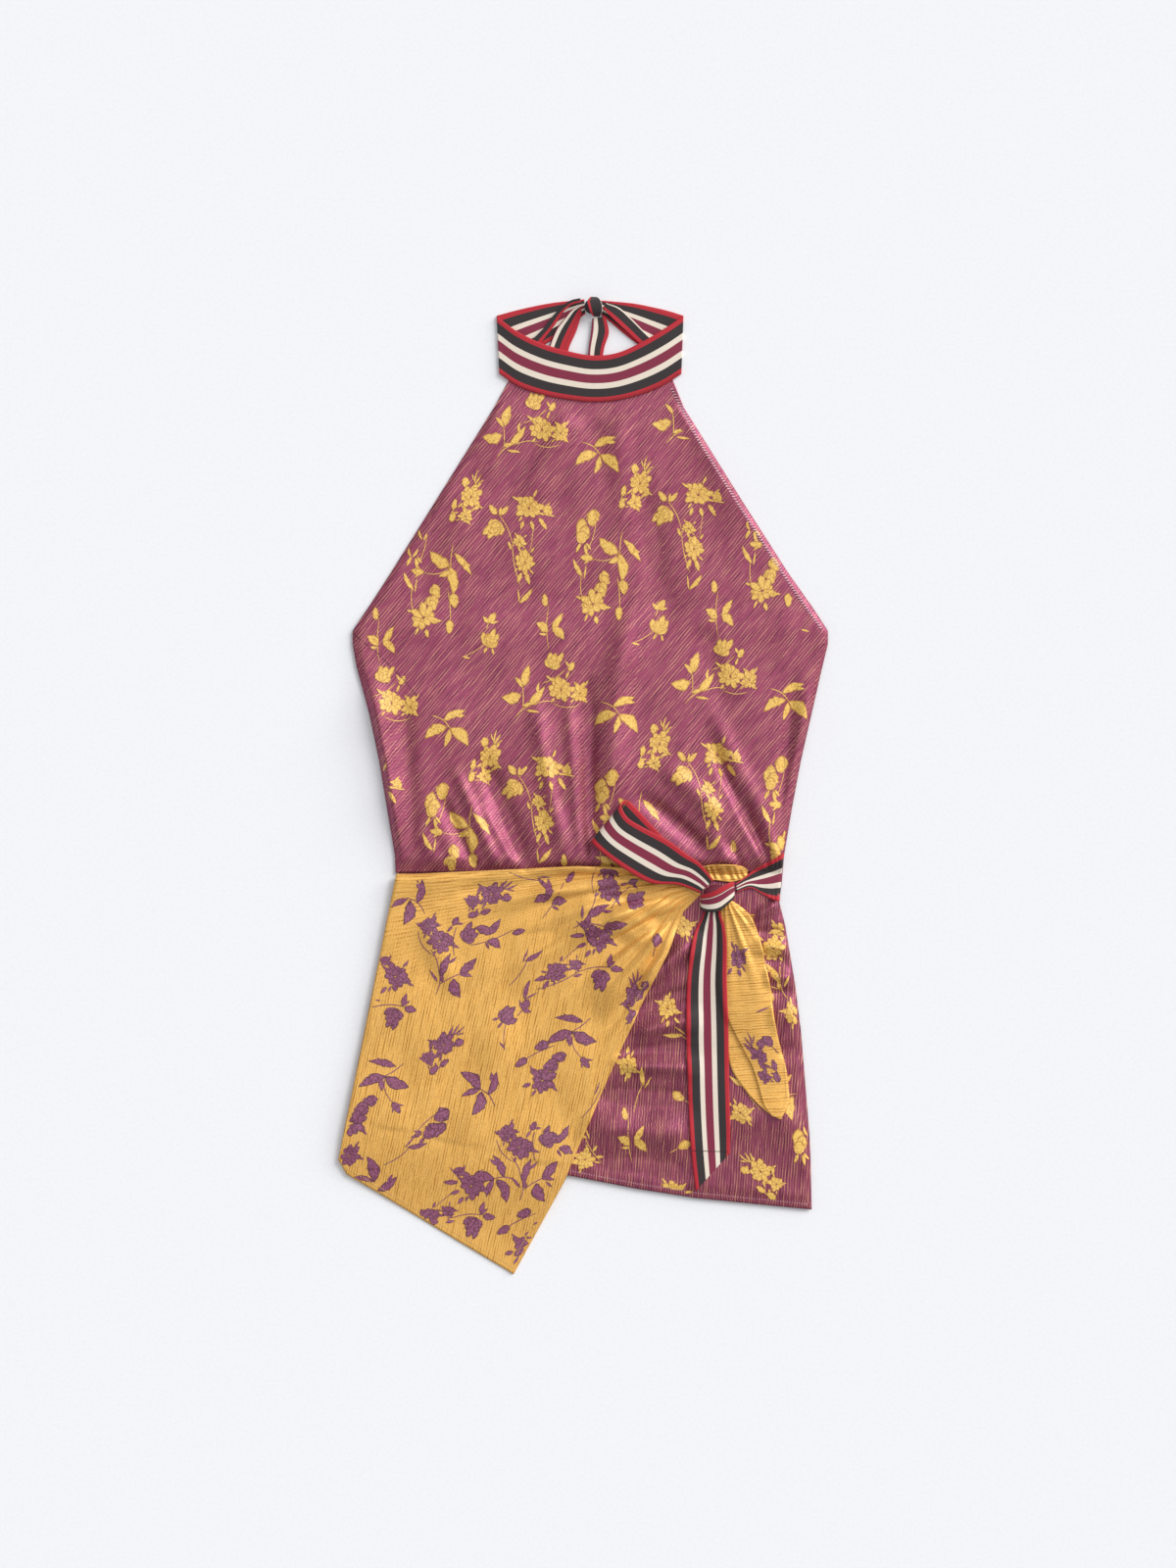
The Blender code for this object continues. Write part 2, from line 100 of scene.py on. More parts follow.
# The front's folds and finer creases: soft ridges, or troughs below zero, along straight runs
RUN = "x y x_end y_end bow width width_end height"
BODICE_FOLDS = table(RUN, """
    -8 350 -50 240 0 10 14 2.6, 4 350 22 250 0 9 12 -1.2, 30 350 42 200 0 9 15 2.2,
    50 280 78 125 0 10 14 -2.6, 92 350 152 225 0 13 18 2.6, -90 270 -128 160 6 12 16 1.7,
    104 150 128 56 0 9 12 -2.6, 42 170 26 -34 4 13 13 5.9, 4 110 8 -88 0 7 6 -6.5,
    -14 100 2 -92 2 5 6 2.8, -44 92 -8 -92 3 8 8 4.5, -34 60 -14 -40 2 3.5 4 -1.5,
    -94 36 -44 -92 0 8 11 -6.8, -118 24 -68 -92 0 5 6 3.8, -92 -14 -50 -92 0 3 4 2.1,
    -130 -2 -88 -92 0 4 5 -4.2, -140 -10 -104 -92 0 6 7 2, -150 -30 -118 -92 0 7 8 2.1,
    -190 116 -172 -70 0 12 11 6.4, -162 100 -150 -70 0 8 8 -2.8, 110 78 174 -50 2 7 8 2.8,
    112 50 160 -62 2 4.5 5 -5.5, 124 12 170 -88 2 5 5 3, 140 0 172 -92 0 3.5 4 -4,
    158 -20 180 -84 0 3.5 4.5 2.8, 204 96 184 -56 0 8 7 3.8, 190 112 174 -56 0 6 6 -3.2,
    62 22 136 -42 -3 9 10 4.3, 44 -4 118 -66 -2 7 7 -5.8, 112 -30 140 -92 0 9 9 3.4,
    124 -40 152 -92 0 4 5 -4.2
""")
SKIRT_FOLDS = table(RUN, """
    50 -182 104 -132 0 7 9 8, 36 -204 108 -178 1 4 5 -6.4, 40 -222 108 -206 0 7 8 6.4,
    30 -238 108 -232 0 4 5 -4.6, 24 -250 108 -252 0 6 7 5.4, 6 -276 108 -282 0 9 10 -5,
    -8 -302 108 -314 0 12 13 5.6, -14 -334 108 -346 0 11 12 -3.4, 146 -122 196 -92 0 4 5 5,
    148 -130 196 -132 0 3 3.5 -4.8, 152 -142 200 -148 0 4.5 5 4.8, 158 -155 204 -160 0 3 3.5 -4.8,
    160 -170 208 -172 0 5 5 4.8, 164 -186 208 -182 0 3 3.5 -4.4, 164 -208 210 -198 0 8 8 4,
    166 -240 210 -234 0 7 8 -2.8, 20 -112 70 -140 0 8 9 3.5, 130 -300 200 -296 0 14 16 2.6,
    176 -282 196 -350 0 12 14 2
""")
RUN_EASE = 0.3  # share of a run over which a fold rises from nothing
LOFT = 2.2 * MM  # of the cloth off what lies under it, away from its seams
SWELL = 3.4 * MM  # further loft of the bodice above the waist, between these two levels
SWELL_TOP = 130 * MM
SWELL_BOTTOM = -20 * MM
# Slow waves that no cloth laid by hand is free of: wave length, direction in degrees, height
RIPPLES = grid("61 20 0.3, 43 155 0.22, 88 75 0.35, 29 118 0.1, 34 8 0.12")

# The wrap as a fan about a point in the knot: its rim, and how far its two straight edges bow out
FAN_CENTRE = (107 * MM, -88 * MM)
FAN_START = 9 * MM
FAN_RIM = table("x y", """
    -166.5 -80, -180 -145, -193.5 -210, -206 -272, -218.35 -334, -211 -347, -161.5 -376.5,
    -112 -406.5, -62 -436.2
""")
FAN_EDGES = table("distance top right", """
    9 4.5 2, 30 9 -5, 70 13.5 -1.5, 114 13 -2.5, 182 7.5 -1, 258 1.8 2.3, 294 1 4.5, 387 0 0
""")
# Deeper creases that cross the rays on their way to the knot
FLAP_RUNS = table(RUN, """
    96 -99 0 -101 2 3.5 6 -4.8, 98 -101 -30 -128 0 8 15 5.6, 96 -108 -14 -168 3 4 8 -6.4,
    90 -118 8 -208 4 9 15 5.2, 76 -138 22 -220 3 4 7 -2.6, 60 -94 -60 -96 0 4 6 2.4,
    -20 -90 -120 -94 0 4 5 -2, -10 -134 -110 -150 0 6 9 -2.4, -150 -110 -110 -190 0 9 12 2.4,
    -60 -200 -110 -330 0 14 18 2.2, -20 -220 -60 -330 0 10 14 -1.8
""")
THROAT_ARCH = 3.5 * MM  # the wrap arches up by this much as it enters the knot
THROAT_ARCH_LENGTH = 45 * MM
FLAP_REST = 3.2 * MM
# Pleats like rays: place across and width in hundredths of the fan, start, end and height in mm
FLAP_PLEATS = grid("""
    3 3.5 20 370 2, 13 4.5 30 250 3.8, 27 5 30 200 4.2, 42 5 30 220 3.8, 57 4.5 30 190 4,
    71 4.5 30 220 3.8, 84 4.5 30 180 3.5, 95 3.5 30 240 2
""")
PLEAT_RISE = 60 * MM
PLEAT_FADE = 120 * MM
# and the creases between them
FLAP_CREASES = grid("""
    6.5 1.2 10 190 -1, 9 1.5 10 150 1, 19 1.6 8 170 -1, 22 1.8 8 130 1.3, 33 1.5 8 150 -1,
    36 1.8 8 120 1, 49 1.6 8 165 -1, 52 1.8 8 110 1, 64 1.5 8 140 -1, 77 1.5 8 150 -1,
    80 1.8 8 100 0.8, 90 1.5 8 130 -0.8
""")
CREASE_RISE = 20 * MM
CREASE_FADE = 80 * MM
PIPING = 4 * MM  # the wrap's upper edge is turned under and stands up as a soft cord
PIPING_HEIGHT = 1.5 * MM
YARN_TURN = 78  # degrees from X to the way that the wrap's yarns run
YARN_GATHER = 190 * MM  # within this distance of the knot they turn towards it
EDGE_GATHER = 0.42  # place across the fan up to which they follow its upper edge
FAN_SPAN = 210 * MM  # breadth given to the fan where its yarns follow the pleats
HEM_WIDTH = 6 * MM
HEM_RISE = 0.35 * MM

# Ribbons by rows of points along their two edges
EDGES = "xa ya za xb yb zb"
COLLAR_FRONT = table(EDGES, """
    -77 418.7 2.2 -74.8 367.5 2.2, -59.5 405.6 3.6 -56.9 355.7 2.3, -36.8 394.4 3.9 -34.1 348.2 2.3,
    -13.1 387.4 3.9 -11.4 344.1 2.3, 8.8 383.5 3.9 8.8 342.3 2.3, 30.6 385.9 3.9 29.8 343.7 2.3,
    52.5 395.7 3.9 51.6 348.9 2.3, 73.5 408.2 3.6 70.9 356.7 2.3, 89.5 419.3 2.2 87.7 367.2 2.2
""")
COLLAR_BACK_LEFT = table(EDGES, """
    -77 419.3 0.6 -74.8 367.9 0.6, -60.5 423.8 0.6 -56.9 381.1 0.6, -41.7 428.1 0.6 -35 393.3 0.6,
    -26.6 430.8 0.6 -18 404 0.6, -11.6 432.5 0.6 -6 415 0.6, 1 434 0.6 2 421 0.6
""")
COLLAR_BACK_RIGHT = table(EDGES, """
    14 433 0.6 14 422 0.6, 27.4 431.9 0.6 24 414 0.6, 46.2 430 0.6 42 399 0.6,
    65 426.2 0.6 62 385 0.6, 77.6 423.1 0.6 76 376 0.6, 89.5 419.3 0.6 87.5 367.9 0.6
""")
NECK_TIE_LEFT_OUTER = table(EDGES, """
    -2.5 434.4 6.5 -2.5 430.8 6.5, -11 432.5 5.5 -9.5 429 5.5, -18 428 4.4 -14.5 425.5 4.4,
    -26.6 419.3 3 -19.5 420 3.4, -35.3 408 2.4 -25.5 410.5 2.6, -45 398 2.3 -34.5 399 2.3,
    -51.6 390 2.1 -42 388 2.1
""")
NECK_TIE_LEFT_INNER = table(EDGES, """
    -3.5 427.6 5.4 -1.8 424 5.4, -10 424 4.2 -1.5 420.5 4.2, -15.8 417.5 3.2 -3 415 3.2,
    -24 406.8 2.6 -6.5 404.2 2.6, -29.6 393.6 2.3 -12 392 2.3, -32 384.6 2.3 -15 380 2.3
""")
NECK_TIE_RIGHT_INNER = table(EDGES, """
    8 416.5 3 20 418.6 3, 7.3 406.8 2.5 23 404.5 2.5, 5 390 2.3 19 391 2.3,
    4.4 377.6 2.3 16.6 375.8 2.3
""")
NECK_TIE_RIGHT_OUTER = table(EDGES, """
    17.5 425.5 6.4 20.5 430 6.4, 27.4 415.5 4.8 32.4 425.7 4.8, 39.9 404.2 3 43 416.5 3,
    49.9 394.9 2.4 55 404.5 2.4, 57 388 2.3 64.5 396 2.3
""")
NECK_BAND = table(EDGES, """
    6.5 435.2 6 12.5 435 6, 4 431 11.3 15.2 432.2 11.3, 4.6 426.5 12.6 17 427.5 12.4,
    6.5 421.4 11.2 16.8 421.8 11, 9.4 418.2 6.6 14.6 418 6.6
""")
WAIST_FOLD = table(EDGES, """
    104 -73 4.2 109 -83.4 4.2, 115 -70.5 4.2 119 -84.6 4.2, 130 -70.5 4.2 131 -86 4.2,
    140.5 -71.6 4.2 139 -84.5 4.2, 147 -75.6 4.2 145.5 -83 4.2
""")
WAIST_TIE_SIDE = table(EDGES, """
    178.6 -60.4 3.8 174.8 -103.2 3.8, 165.7 -67.7 5 168 -101.2 4.6, 153.7 -74.4 6 160.5 -97.5 5.6,
    143 -82.4 7.5 150 -91.5 7.2, 136 -87.5 9 137 -95 9
""")
BOW_LOOP_UNDER = table(EDGES, """
    112 -85.5 10.8 102.5 -92.5 10.8, 100 -74 10.4 84 -86.5 10.4, 80 -55 9 58 -79 10,
    63 -37.2 7.6 36 -68 9, 50 -23 7.2 20 -57.5 7.6, 41 -13.6 7 11 -49 7.2
""")
BOW_LOOP_UPPER = table(EDGES, """
    40.5 -13.2 8.8 9 -50.5 9, 36.4 -14 13 7.2 -50 13, 34.1 -18.8 17.5 10.5 -53.8 17,
    40 -28.8 20 18.5 -60.8 19, 53.4 -37.2 20.8 30 -69.5 19.2, 75.2 -48.6 20 50.8 -82.7 17.4,
    91.9 -60.8 18.6 64 -87.4 15.6, 103.2 -68.6 17 82 -88 14, 110.5 -77 15.4 96 -92 13,
    116 -84.4 14 103.6 -95.4 12.6
""")
BOW_TAIL = table(EDGES, """
    109 -106 8 121.6 -107.5 8.6, 105.9 -117.7 6.6 122.5 -115 8.6, 101.5 -125.6 4.6 126 -125.6 8.6,
    97.1 -140 3.7 127.8 -143.9 8.6, 92.8 -173.7 3.7 127.8 -173.7 8.6,
    91.9 -217.4 3.7 129.5 -217.4 8, 93 -255 3.7 130 -255 6, 94.2 -290 3.7 130.8 -288 4.4,
    96.4 -326 3.7 131.2 -308 3.8, 100.3 -361.8 3.7 130.8 -327.7 3.7
""")
WAIST_BAND = table(EDGES, """
    105.2 -98.6 8.6 104.4 -107 8.6, 106.4 -97.2 14.2 106.2 -110.5 12.6,
    114.2 -94.8 19 112 -112.6 15.6, 122 -90.6 20.2 121 -111.4 16.4,
    130.2 -86.4 18.2 130.4 -104 15.4, 134.2 -86 12.4 134.4 -99.5 11
""")
WRAP_TAIL = table("x_fold y_fold x_upper y_upper x_under y_under", """
    131 -102 123 -108 123 -108, 142 -109.5 124 -116 124 -116, 150.5 -119.5 124 -127 124 -127,
    157.8 -139.3 124 -143 124 -143, 161.5 -156.4 124 -160 124 -160, 166.5 -180 124 -182 124 -182,
    169.5 -205 130 -207 127 -207, 174.5 -230 141 -230 129 -233, 180 -250 151.5 -250 134 -254,
    182.5 -268 157.5 -268 146 -272, 183 -282 162 -284 158 -285, 176 -297 170 -294.5 169 -294
""")
TAIL_REST = 3.9 * MM
TAIL_PUFF = 1.6 * MM  # of the upper layer, over the first part of the end
TAIL_PUFF_PART = 0.5
TAIL_PLEAT = 1.3 * MM
TAIL_PLEATS_END = 130 * MM  # from the knot
OVER_TAIL = 14 * MM  # the bow's tail rises on to the wrap's end over this length
# Two waves in degrees round the knot make the end's pleats: rate, share and start of each
TAIL_WAVES = ((0.42, 1, 0), (0.79, 0.6, 1))
FOLD_GATHER = 0.8 * MM
FOLD_GATHER_LENGTH = 6.5 * MM
FOLD_SLANT = 0.35  # the gathers lean by this share of their run across the fold
FOLD_UNEVEN = (1.4, 1.7)  # strength and rate of the slower wave that makes them uneven
KNOT = (126 * MM, -96 * MM)
LAYER_SHARE, FOLD_SHARE = 0.4, 0.2  # of the end's grid, over each of its two layers and round the fold
SIDE_TIE_REST = 4.2 * MM
BOW_TAIL_REST = 3.7 * MM
FACE, REVERSE, STRIPED = "jacquard_face", "jacquard_reverse", "striped_ribbon"  # slots of the record

# The woven pattern. Each spray is a few parts: blooms by their middle, and buds, leaves and stems
# by their foot, in mm and degrees
SPRAYS = {
    # kind x y direction length width bend
    "garland": named_rows("""
        stem -44 -24 36 22 0.9 2, stem -27 -12 8 24 0.9 2, stem -8 -10 -4 26 0.8 -3,
        stem -37 -16 92 27 0.9 -1, stem -19 9 31 28 0.9 -2, rose 0 4 96 28 24 0,
        rose 18.5 0 82 22 15 0, half -7 31 70 20 18 0, bud 8 21 62 10 6 0, leaf 8 25 120 7 2.6 0,
        leaf -36 6 76 22 9 1, leaf -37 5 128 13 4.5 -1, leaf -38 -2 186 20 11.5 2.5,
        leaf -32 -13 50 26 7.5 -1, leaf -22 -1 84 12 3 1, leaf -37 -13 18 10 4 0,
        leaf -34 -17 -8 14 2.8 0
    """),
    "four_leaves": named_rows("""
        stem -18 14 -36 24 1 3, leaf -6 9 24 24 8 1.5, leaf 5 14 -2 11 4 0, leaf -2 3 208 25 11 -3,
        leaf 0 1 254 19 6 1, leaf 0 2 315 26 11.5 3
    """),
    "upright_rose": named_rows("""
        rose 2 1.5 82 26 21 0, rose -3 -18 68 17 14 0, bud -2 11 100 9 8 0, leaf 6 12 58 13 1.9 0,
        leaf 6 12 78 16 1.7 1, leaf 8 12 38 9 1.6 0, leaf 5 16 104 8 1.5 0, leaf 3 -12 22 10 3.4 0,
        leaf -10 -14 205 6 2 0, bud -15 -12 78 11 5.5 0, bud -17 -24 74 11 6.5 0,
        stem -17 -16 66 8 0.9 0
    """),
    "tall_spray": named_rows("""
        stem -17 33 -64 32 0.9 2, stem -3 5 -79 44 0.9 -2, stem 17 26 -96 30 0.6 1,
        rose 13 39 100 26 26 0, leaf 8 26 250 9 3.6 0, leaf 15 26 285 10 4 0,
        half 31 36 200 11 11 0, leaf 26 33 348 14 2 0, leaf 28 38 44 9 1.8 0,
        bud 23 29 -58 14 4.6 0, half -21 18 238 23 19 0, bud -18 32 128 12 6.5 0,
        leaf -15 31 48 13 5 0, leaf -15 31 84 9 3 0, rose 4 6 75 14 13 0, rose 9 -13 80 27 18 0,
        leaf 6 -24 248 11 4.2 0, leaf 10 -24 288 13 4.6 0, leaf -4 -2 110 9 3 0,
        leaf 4 -54 50 20 5 -1, leaf 4 -54 96 15 1.8 0
    """),
    "bud_pair": named_rows("""
        stem 8 14 250 36 0.8 2, rosebud 4.6 20 86 23 13 0, rosebud -5 4 80 25 15 0,
        leaf -7 -6 244 11 3.4 0, leaf -3 -7 278 12 3.6 0, leaf -2 -6 306 9 2.6 0
    """),
    "thin_leaf": named_rows("""
        stem 1 -24 94 34 0.8 2, leaf 0 4 118 21 4.8 1, leaf 1 2 82 15 1.8 0
    """),
    "hanging_rose": named_rows("""
        stem 12 18 84 24 0.9 1, stem -15 15 12 28 0.8 -4, stem 9 -2 -86 34 0.9 1,
        leaf 11 20 141 25 12.5 2, leaf 15 34 -52 28 7 1, leaf 24 24 -20 8 2.6 0,
        leaf 11 21 -84 29 10.5 2, leaf 12 16 204 13 5.5 0, bud -14 15 172 13 7 0,
        leaf -18 18 128 7 1.8 0, leaf -18 14 216 7 1.8 0, rosebud -3 -4 118 15 12 0,
        rosebud -6 -15 96 16 13 0, rose -15 -28 112 27 26 0, leaf -12 -40 282 9 4.4 0,
        bud 14 -5 278 15 9 0, leaf 13 -7 300 10 3.4 0, bud 11 -31 268 14 7.5 0
    """),
    "long_stem": named_rows("""
        stem -26 -18 36 37 0.8 -3, leaf -25 -17 -14 9 2.2 0, half 3 0 66 22 18 0,
        leaf -1 -8 246 7 2.8 0, leaf 4 -9 284 7 2.6 0, stem -2 8 70 10 0.8 0, bud 1 15 58 12 7.5 0,
        leaf 1 15 130 9 4.4 0, leaf 2 15 12 9 2.6 0
    """),
    "bud_stem": named_rows("""
        stem 0 -27 90 44 0.8 2, bud -3 15 96 13 6 0, leaf -3 16 138 5 1.6 0,
        leaf -1 -10 140 15 9 -1.5, leaf -2 -12 176 8 3 0, leaf 4 -10 62 22 7 1,
        leaf 3 -5 -46 17 9 1.5
    """),
    "single_rose": named_rows("""
        rose 0 0 90 24 20 0, leaf -3 -11 240 8 3.4 0, leaf 3 -11 292 8 3 0
    """),
    "single_bud": named_rows("""
        rosebud 0 0 90 17 9 0, stem 0 -8 268 9 0.8 0
    """),
}
# Blooms by the same columns, as shares of their length and width about their middle, facing +x
BLOOMS = {
    "rose": named_rows("""
        petal -0.06 0.04 30 0.56 0.3 0, petal -0.06 -0.04 -14 0.54 0.32 0,
        petal -0.06 -0.06 -52 0.52 0.3 -0.02, petal -0.04 0.06 72 0.5 0.3 0.03,
        petal -0.04 -0.06 -90 0.52 0.28 -0.03, petal -0.04 0.06 110 0.48 0.28 0,
        petal -0.06 -0.06 -128 0.5 0.28 0, petal -0.06 0.02 150 0.46 0.26 0,
        petal -0.06 -0.02 -162 0.46 0.26 0, petal -0.02 0.02 8 0.44 0.3 0,
        petal -0.2 0.08 14 0.44 0.26 0.02, petal -0.18 -0.08 -20 0.4 0.26 -0.02,
        petal -0.06 0.12 62 0.26 0.2 0, petal -0.02 -0.1 -58 0.26 0.2 0,
        leaf 0.3 0.3 48 0.36 0.11 0, leaf 0.36 -0.26 -34 0.34 0.11 0,
        leaf -0.32 0.32 132 0.32 0.1 0, leaf -0.3 -0.36 -116 0.36 0.1 0
    """),
    "half": named_rows("""
        petal -0.46 0.02 44 0.74 0.36 0.04, petal -0.46 -0.02 -42 0.72 0.34 -0.04,
        petal -0.48 0 22 0.92 0.36 0.02, petal -0.48 0 -20 0.96 0.38 -0.02,
        petal -0.46 0 2 0.86 0.38 0, petal -0.4 0.06 12 0.56 0.26 0,
        petal -0.36 -0.06 -10 0.48 0.24 0
    """),
    "rosebud": named_rows("""
        petal -0.5 0 9 0.98 0.66 0.03, petal -0.5 0 -10 0.92 0.64 -0.03,
        petal -0.5 0 0 0.72 0.6 0.02, leaf -0.5 0.04 34 0.52 0.16 0.05,
        leaf -0.5 -0.04 -32 0.46 0.14 -0.05
    """),
}
# The front's pattern: one cell of sprays by x, y and turn, which repeats along two steps
CELL = named_rows("""
    garland -36.8 314.6 0, four_leaves 14.9 293.6 0, upright_rose 49 269 0,
    tall_spray -60.4 212.2 0, bud_pair 4.4 222 0, thin_leaf 0 182 0, hanging_rose -129 176.3 0,
    long_stem -84.9 130.8 0, bud_stem -30.6 145.7 0
""")
STEP_ACROSS = np.array((151, 12)) * MM
STEP_DOWN = np.array((17, -232)) * MM
REPEATS = ((i, j) for j in range(-1, 3) for i in range(-2, 4))
# The skirt is cut the other way of the cloth, so its sprays lean and lie in other places
SKIRT_SPRAYS = named_rows("""
    single_rose 89 -126 60, single_rose 75 -198 20, thin_leaf 93 -224 62, single_rose 40 -250 200,
    thin_leaf 53 -272 338, single_bud 84 -277 60, bud_stem 42 -312 4, thin_leaf 6 -318 28,
    single_rose 1 -334 120, single_bud 91 -320 300, upright_rose 158 -346 66, thin_leaf 134 -370 80,
    single_bud 168 -372 20, single_rose 80 -362 70, single_rose 187 -203 40, garland 172 -146 75,
    thin_leaf 156 -116 100, single_rose 141 -292 250, thin_leaf 148 -272 30,
    four_leaves 190 -276 62, bud_pair 198 -322 4
""")
# The wrap shows the cloth's other face: its sprays are mirrored and in the ground's colour
FLAP_SPRAYS = named_rows("""
    garland -130 -140 -63, garland -59 -324 -58, garland 20 -91 -100, hanging_rose -20 -238 -60,
    hanging_rose -188 -277 -63, hanging_rose -36 -388 -60, tall_spray -193 -197 -63,
    tall_spray -9 -166 -56, tall_spray -123 -386 -58, upright_rose -124 -233 -63,
    upright_rose 48 -190 -20, upright_rose -82 -99 -84, long_stem -66 -207 -63,
    bud_pair -139 -305 -63, thin_leaf -160 -325 -50, four_leaves -93 -271 -85,
    four_leaves -157 -101 -78, four_leaves -188 -353 -120, bud_stem -77 -134 -70,
    bud_stem -14 -318 -63, bud_stem -24 -97 -30, thin_leaf -54 -160 -30, thin_leaf 10 -278 -30,
    single_bud 66 -137 -15, thin_leaf -44 -82 -100, single_rose -208 -330 -63,
    four_leaves -80 -352 -40
""")
TAIL_SPRAYS = named_rows("""
    single_rose 137 -153 -10, thin_leaf 152 -204 -74, single_bud 164 -227 40,
    upright_rose 157 -244 5, single_bud 141 -247 -10, single_bud 169 -192 30, single_bud 176 -262 80
""")

# Rows of sewing. A run follows its points in plan; the stitches turn from its direction
SEWING = {
    # run: points in mm, then pitch, stitch length and width in mm, and turn in degrees
    "dart_left": (grid("-204.8 135.2, -182.9 117.7, -161 95.8, -145.2 76.6"), 3, 1.9, 0.7, 0),
    "dart_right": (grid("216.1 127.3, 185.5 91.4"), 3, 1.9, 0.7, 0),
    "skirt_hem": (grid("-14 -343.4, 49 -355.6, 99.8 -363.5, 201 -373.6"), 2.1, 1.8, 0.55, 82),
    "armhole": (grid("78.7 355, 101.7 310, 137.7 252, 178.2 189, 199.2 158, 212.4 140"), 2.7, 3.2, 0.7, 62),
}
SIDE_SEAM = (40, 372)  # of the wrap, by distance from the fan's centre
TAIL_SEAM = grid("179 -243, 180.5 -262, 181 -280, 175 -293")
BOW_END = grid("96 -325.5, 129.5 -326.5")
BAR_TACKS = {"upper": grid("177.2 -62, 177.4 -60"), "lower": grid("174.2 -98.6, 174.4 -96.6")}
STITCHES = {
    # by the same columns as the runs
    "hem": (2.3, 1.5, 0.6, 10),
    "collar": (2.5, 2.6, 0.7, 90),
    "bow_end": (2.2, 2.1, 0.6, 0),
    "bar_tack": (0.7, 2.4, 0.8, 90),
}
ARMHOLE_DOWN = np.array((0.6, -0.8))  # way that the armhole's second row is shifted
COLLAR_INSET = 0.035  # share of the collar's width from its lower edge to its stitches


# ---------------------------------------------------------------- curves and heights
def ease(value):
    """Smooth step: 0 below 0, 1 above 1, and 3t² − 2t³ between."""
    value = np.clip(value, 0, 1)
    return value * value * (3 - 2 * value)


def smooth(values, place):
    """Catmull-Rom curve through the values, read at places from 0 to 1."""
    values = np.concatenate([[2 * values[0] - values[1]], values, [2 * values[-1] - values[-2]]])
    spans = len(values) - 3
    along = np.clip(place, 0, 1) * spans
    first = np.minimum(along.astype(int), spans - 1)
    f = along - first
    p0, p1, p2, p3 = (values[first + k] for k in range(4))
    bend = (2 * p0 - 5 * p1 + 4 * p2 - p3) * f + (3 * p1 - p0 - 3 * p2 + p3) * f * f
    return p1 + 0.5 * f * (p2 - p0 + bend)


def polyline(values, place):
    """Straight runs through the values, read at places from 0 to 1."""
    return np.interp(place, np.linspace(0, 1, len(values)), values)


def side(name, level):
    """X of the left or right edge of the front at a level."""
    return np.interp(level, SIDES["level"][::-1], SIDES[name][::-1])


def hem(x):
    """Y of the front's hem."""
    return np.interp(x, HEM["x"], HEM["y"])


def neckline(x):
    """Y of the front's neckline."""
    return np.interp(x, NECKLINE["x"], NECKLINE["y"])


def ripples(x, y):
    """Sum of sine waves, each across the plane in its own direction."""
    total = np.zeros_like(x)
    for length, direction, height in RIPPLES:
        turn = np.radians(direction)
        travel = (x * np.cos(turn) + y * np.sin(turn)) / (length * MM)
        total += height * MM * np.sin(2 * np.pi * travel + length)
    return total


def soft_runs(x, y, runs):
    """Sum of ridges and troughs: each a bell across its own run, which bows as 4t(1 - t), widens
    from one end to the other and rises from nothing near both."""
    total = np.zeros_like(x)
    for x0, y0, x1, y1, bow, width, width_end, height in zip(*runs.values()):
        run_x, run_y = x1 - x0, y1 - y0
        length = np.hypot(run_x, run_y)
        t = ((x - x0) * run_x + (y - y0) * run_y) / length**2
        across = ((x - x0) * run_y - (y - y0) * run_x) / length - bow * 4 * t * (1 - t)
        wide = width + (width_end - width) * np.clip(t, 0, 1)
        taper = ease(t / RUN_EASE) * ease((1 - t) / RUN_EASE)
        total += height * taper * np.exp(-((across / wide) ** 2))
    return total


def front_top(x, y):
    """Top of the front: its rest height, a loft between its seams, and its folds."""
    on_back = (WALL + GAP) * ease((BACK_TOP + BACK_STEP - y) / BACK_STEP_LENGTH)
    swell = SWELL * ease((SWELL_TOP - y) / (SWELL_TOP - SWELL_BOTTOM)) * (y > WAIST)
    folds = LOFT + swell + ripples(x, y)
    folds += soft_runs(x, y, BODICE_FOLDS) * (y > WAIST) + soft_runs(x, y, SKIRT_FOLDS) * (y < WAIST)
    from_side = np.minimum(x - side("left", y), side("right", y) - x)
    calm = ease(from_side / SIDE_CALM) * ease(abs(y - WAIST) / SEAM_CALM)
    calm = calm * ease((neckline(x) - y - NECK_CALM / 2) / NECK_CALM) * ease((y - hem(x)) / SEAM_CALM)
    return on_back + np.maximum(folds, 0) * calm + WALL


def clear_of_front(x, y):
    """Just above the highest point of the front within reach, or the surface beside it."""
    highest = np.zeros_like(x)
    for dx in (-DRAPE, 0, DRAPE):
        for dy in (-DRAPE, 0, DRAPE):
            u, w = x + dx, y + dy
            inside = (w > hem(u)) & (w < neckline(u)) & (u > side("left", w)) & (u < side("right", w))
            highest = np.maximum(highest, np.where(inside, front_top(u, w) + GAP, 0))
    return highest


# ---------------------------------------------------------------- sheets: u across, v along
def bodice(u, v):
    """Level by level between the sides, from the neckline to the waist, at front_top's height."""
    level = polyline(NECKLINE["y"], u) * (1 - v) + WAIST * v
    left, right = side("left", level), side("right", level)
    x = left + (right - left) * u
    return x, level, front_top(x, level)


def across_sides(u, v, top, left_inset, right_inset):
    """X between the sides of a panel that reaches from its top down to both ends of the hem."""
    left = side("left", top + (HEM["y"][0] - top) * v) + left_inset
    right = side("right", top + (HEM["y"][-1] - top) * v) - right_inset
    return left + (right - left) * u


def skirt(u, v):
    """From just below the waist seam to the hem, whose last few millimetres are turned up."""
    x = across_sides(u, v, WAIST, BACK_INSET, 0)
    y = (WAIST - SEAM_GAP) * (1 - v) + hem(x) * v
    turned = HEM_RISE * ease((hem(x) + HEM_WIDTH - y) / MM)
    return x, y, front_top(x, y) + turned


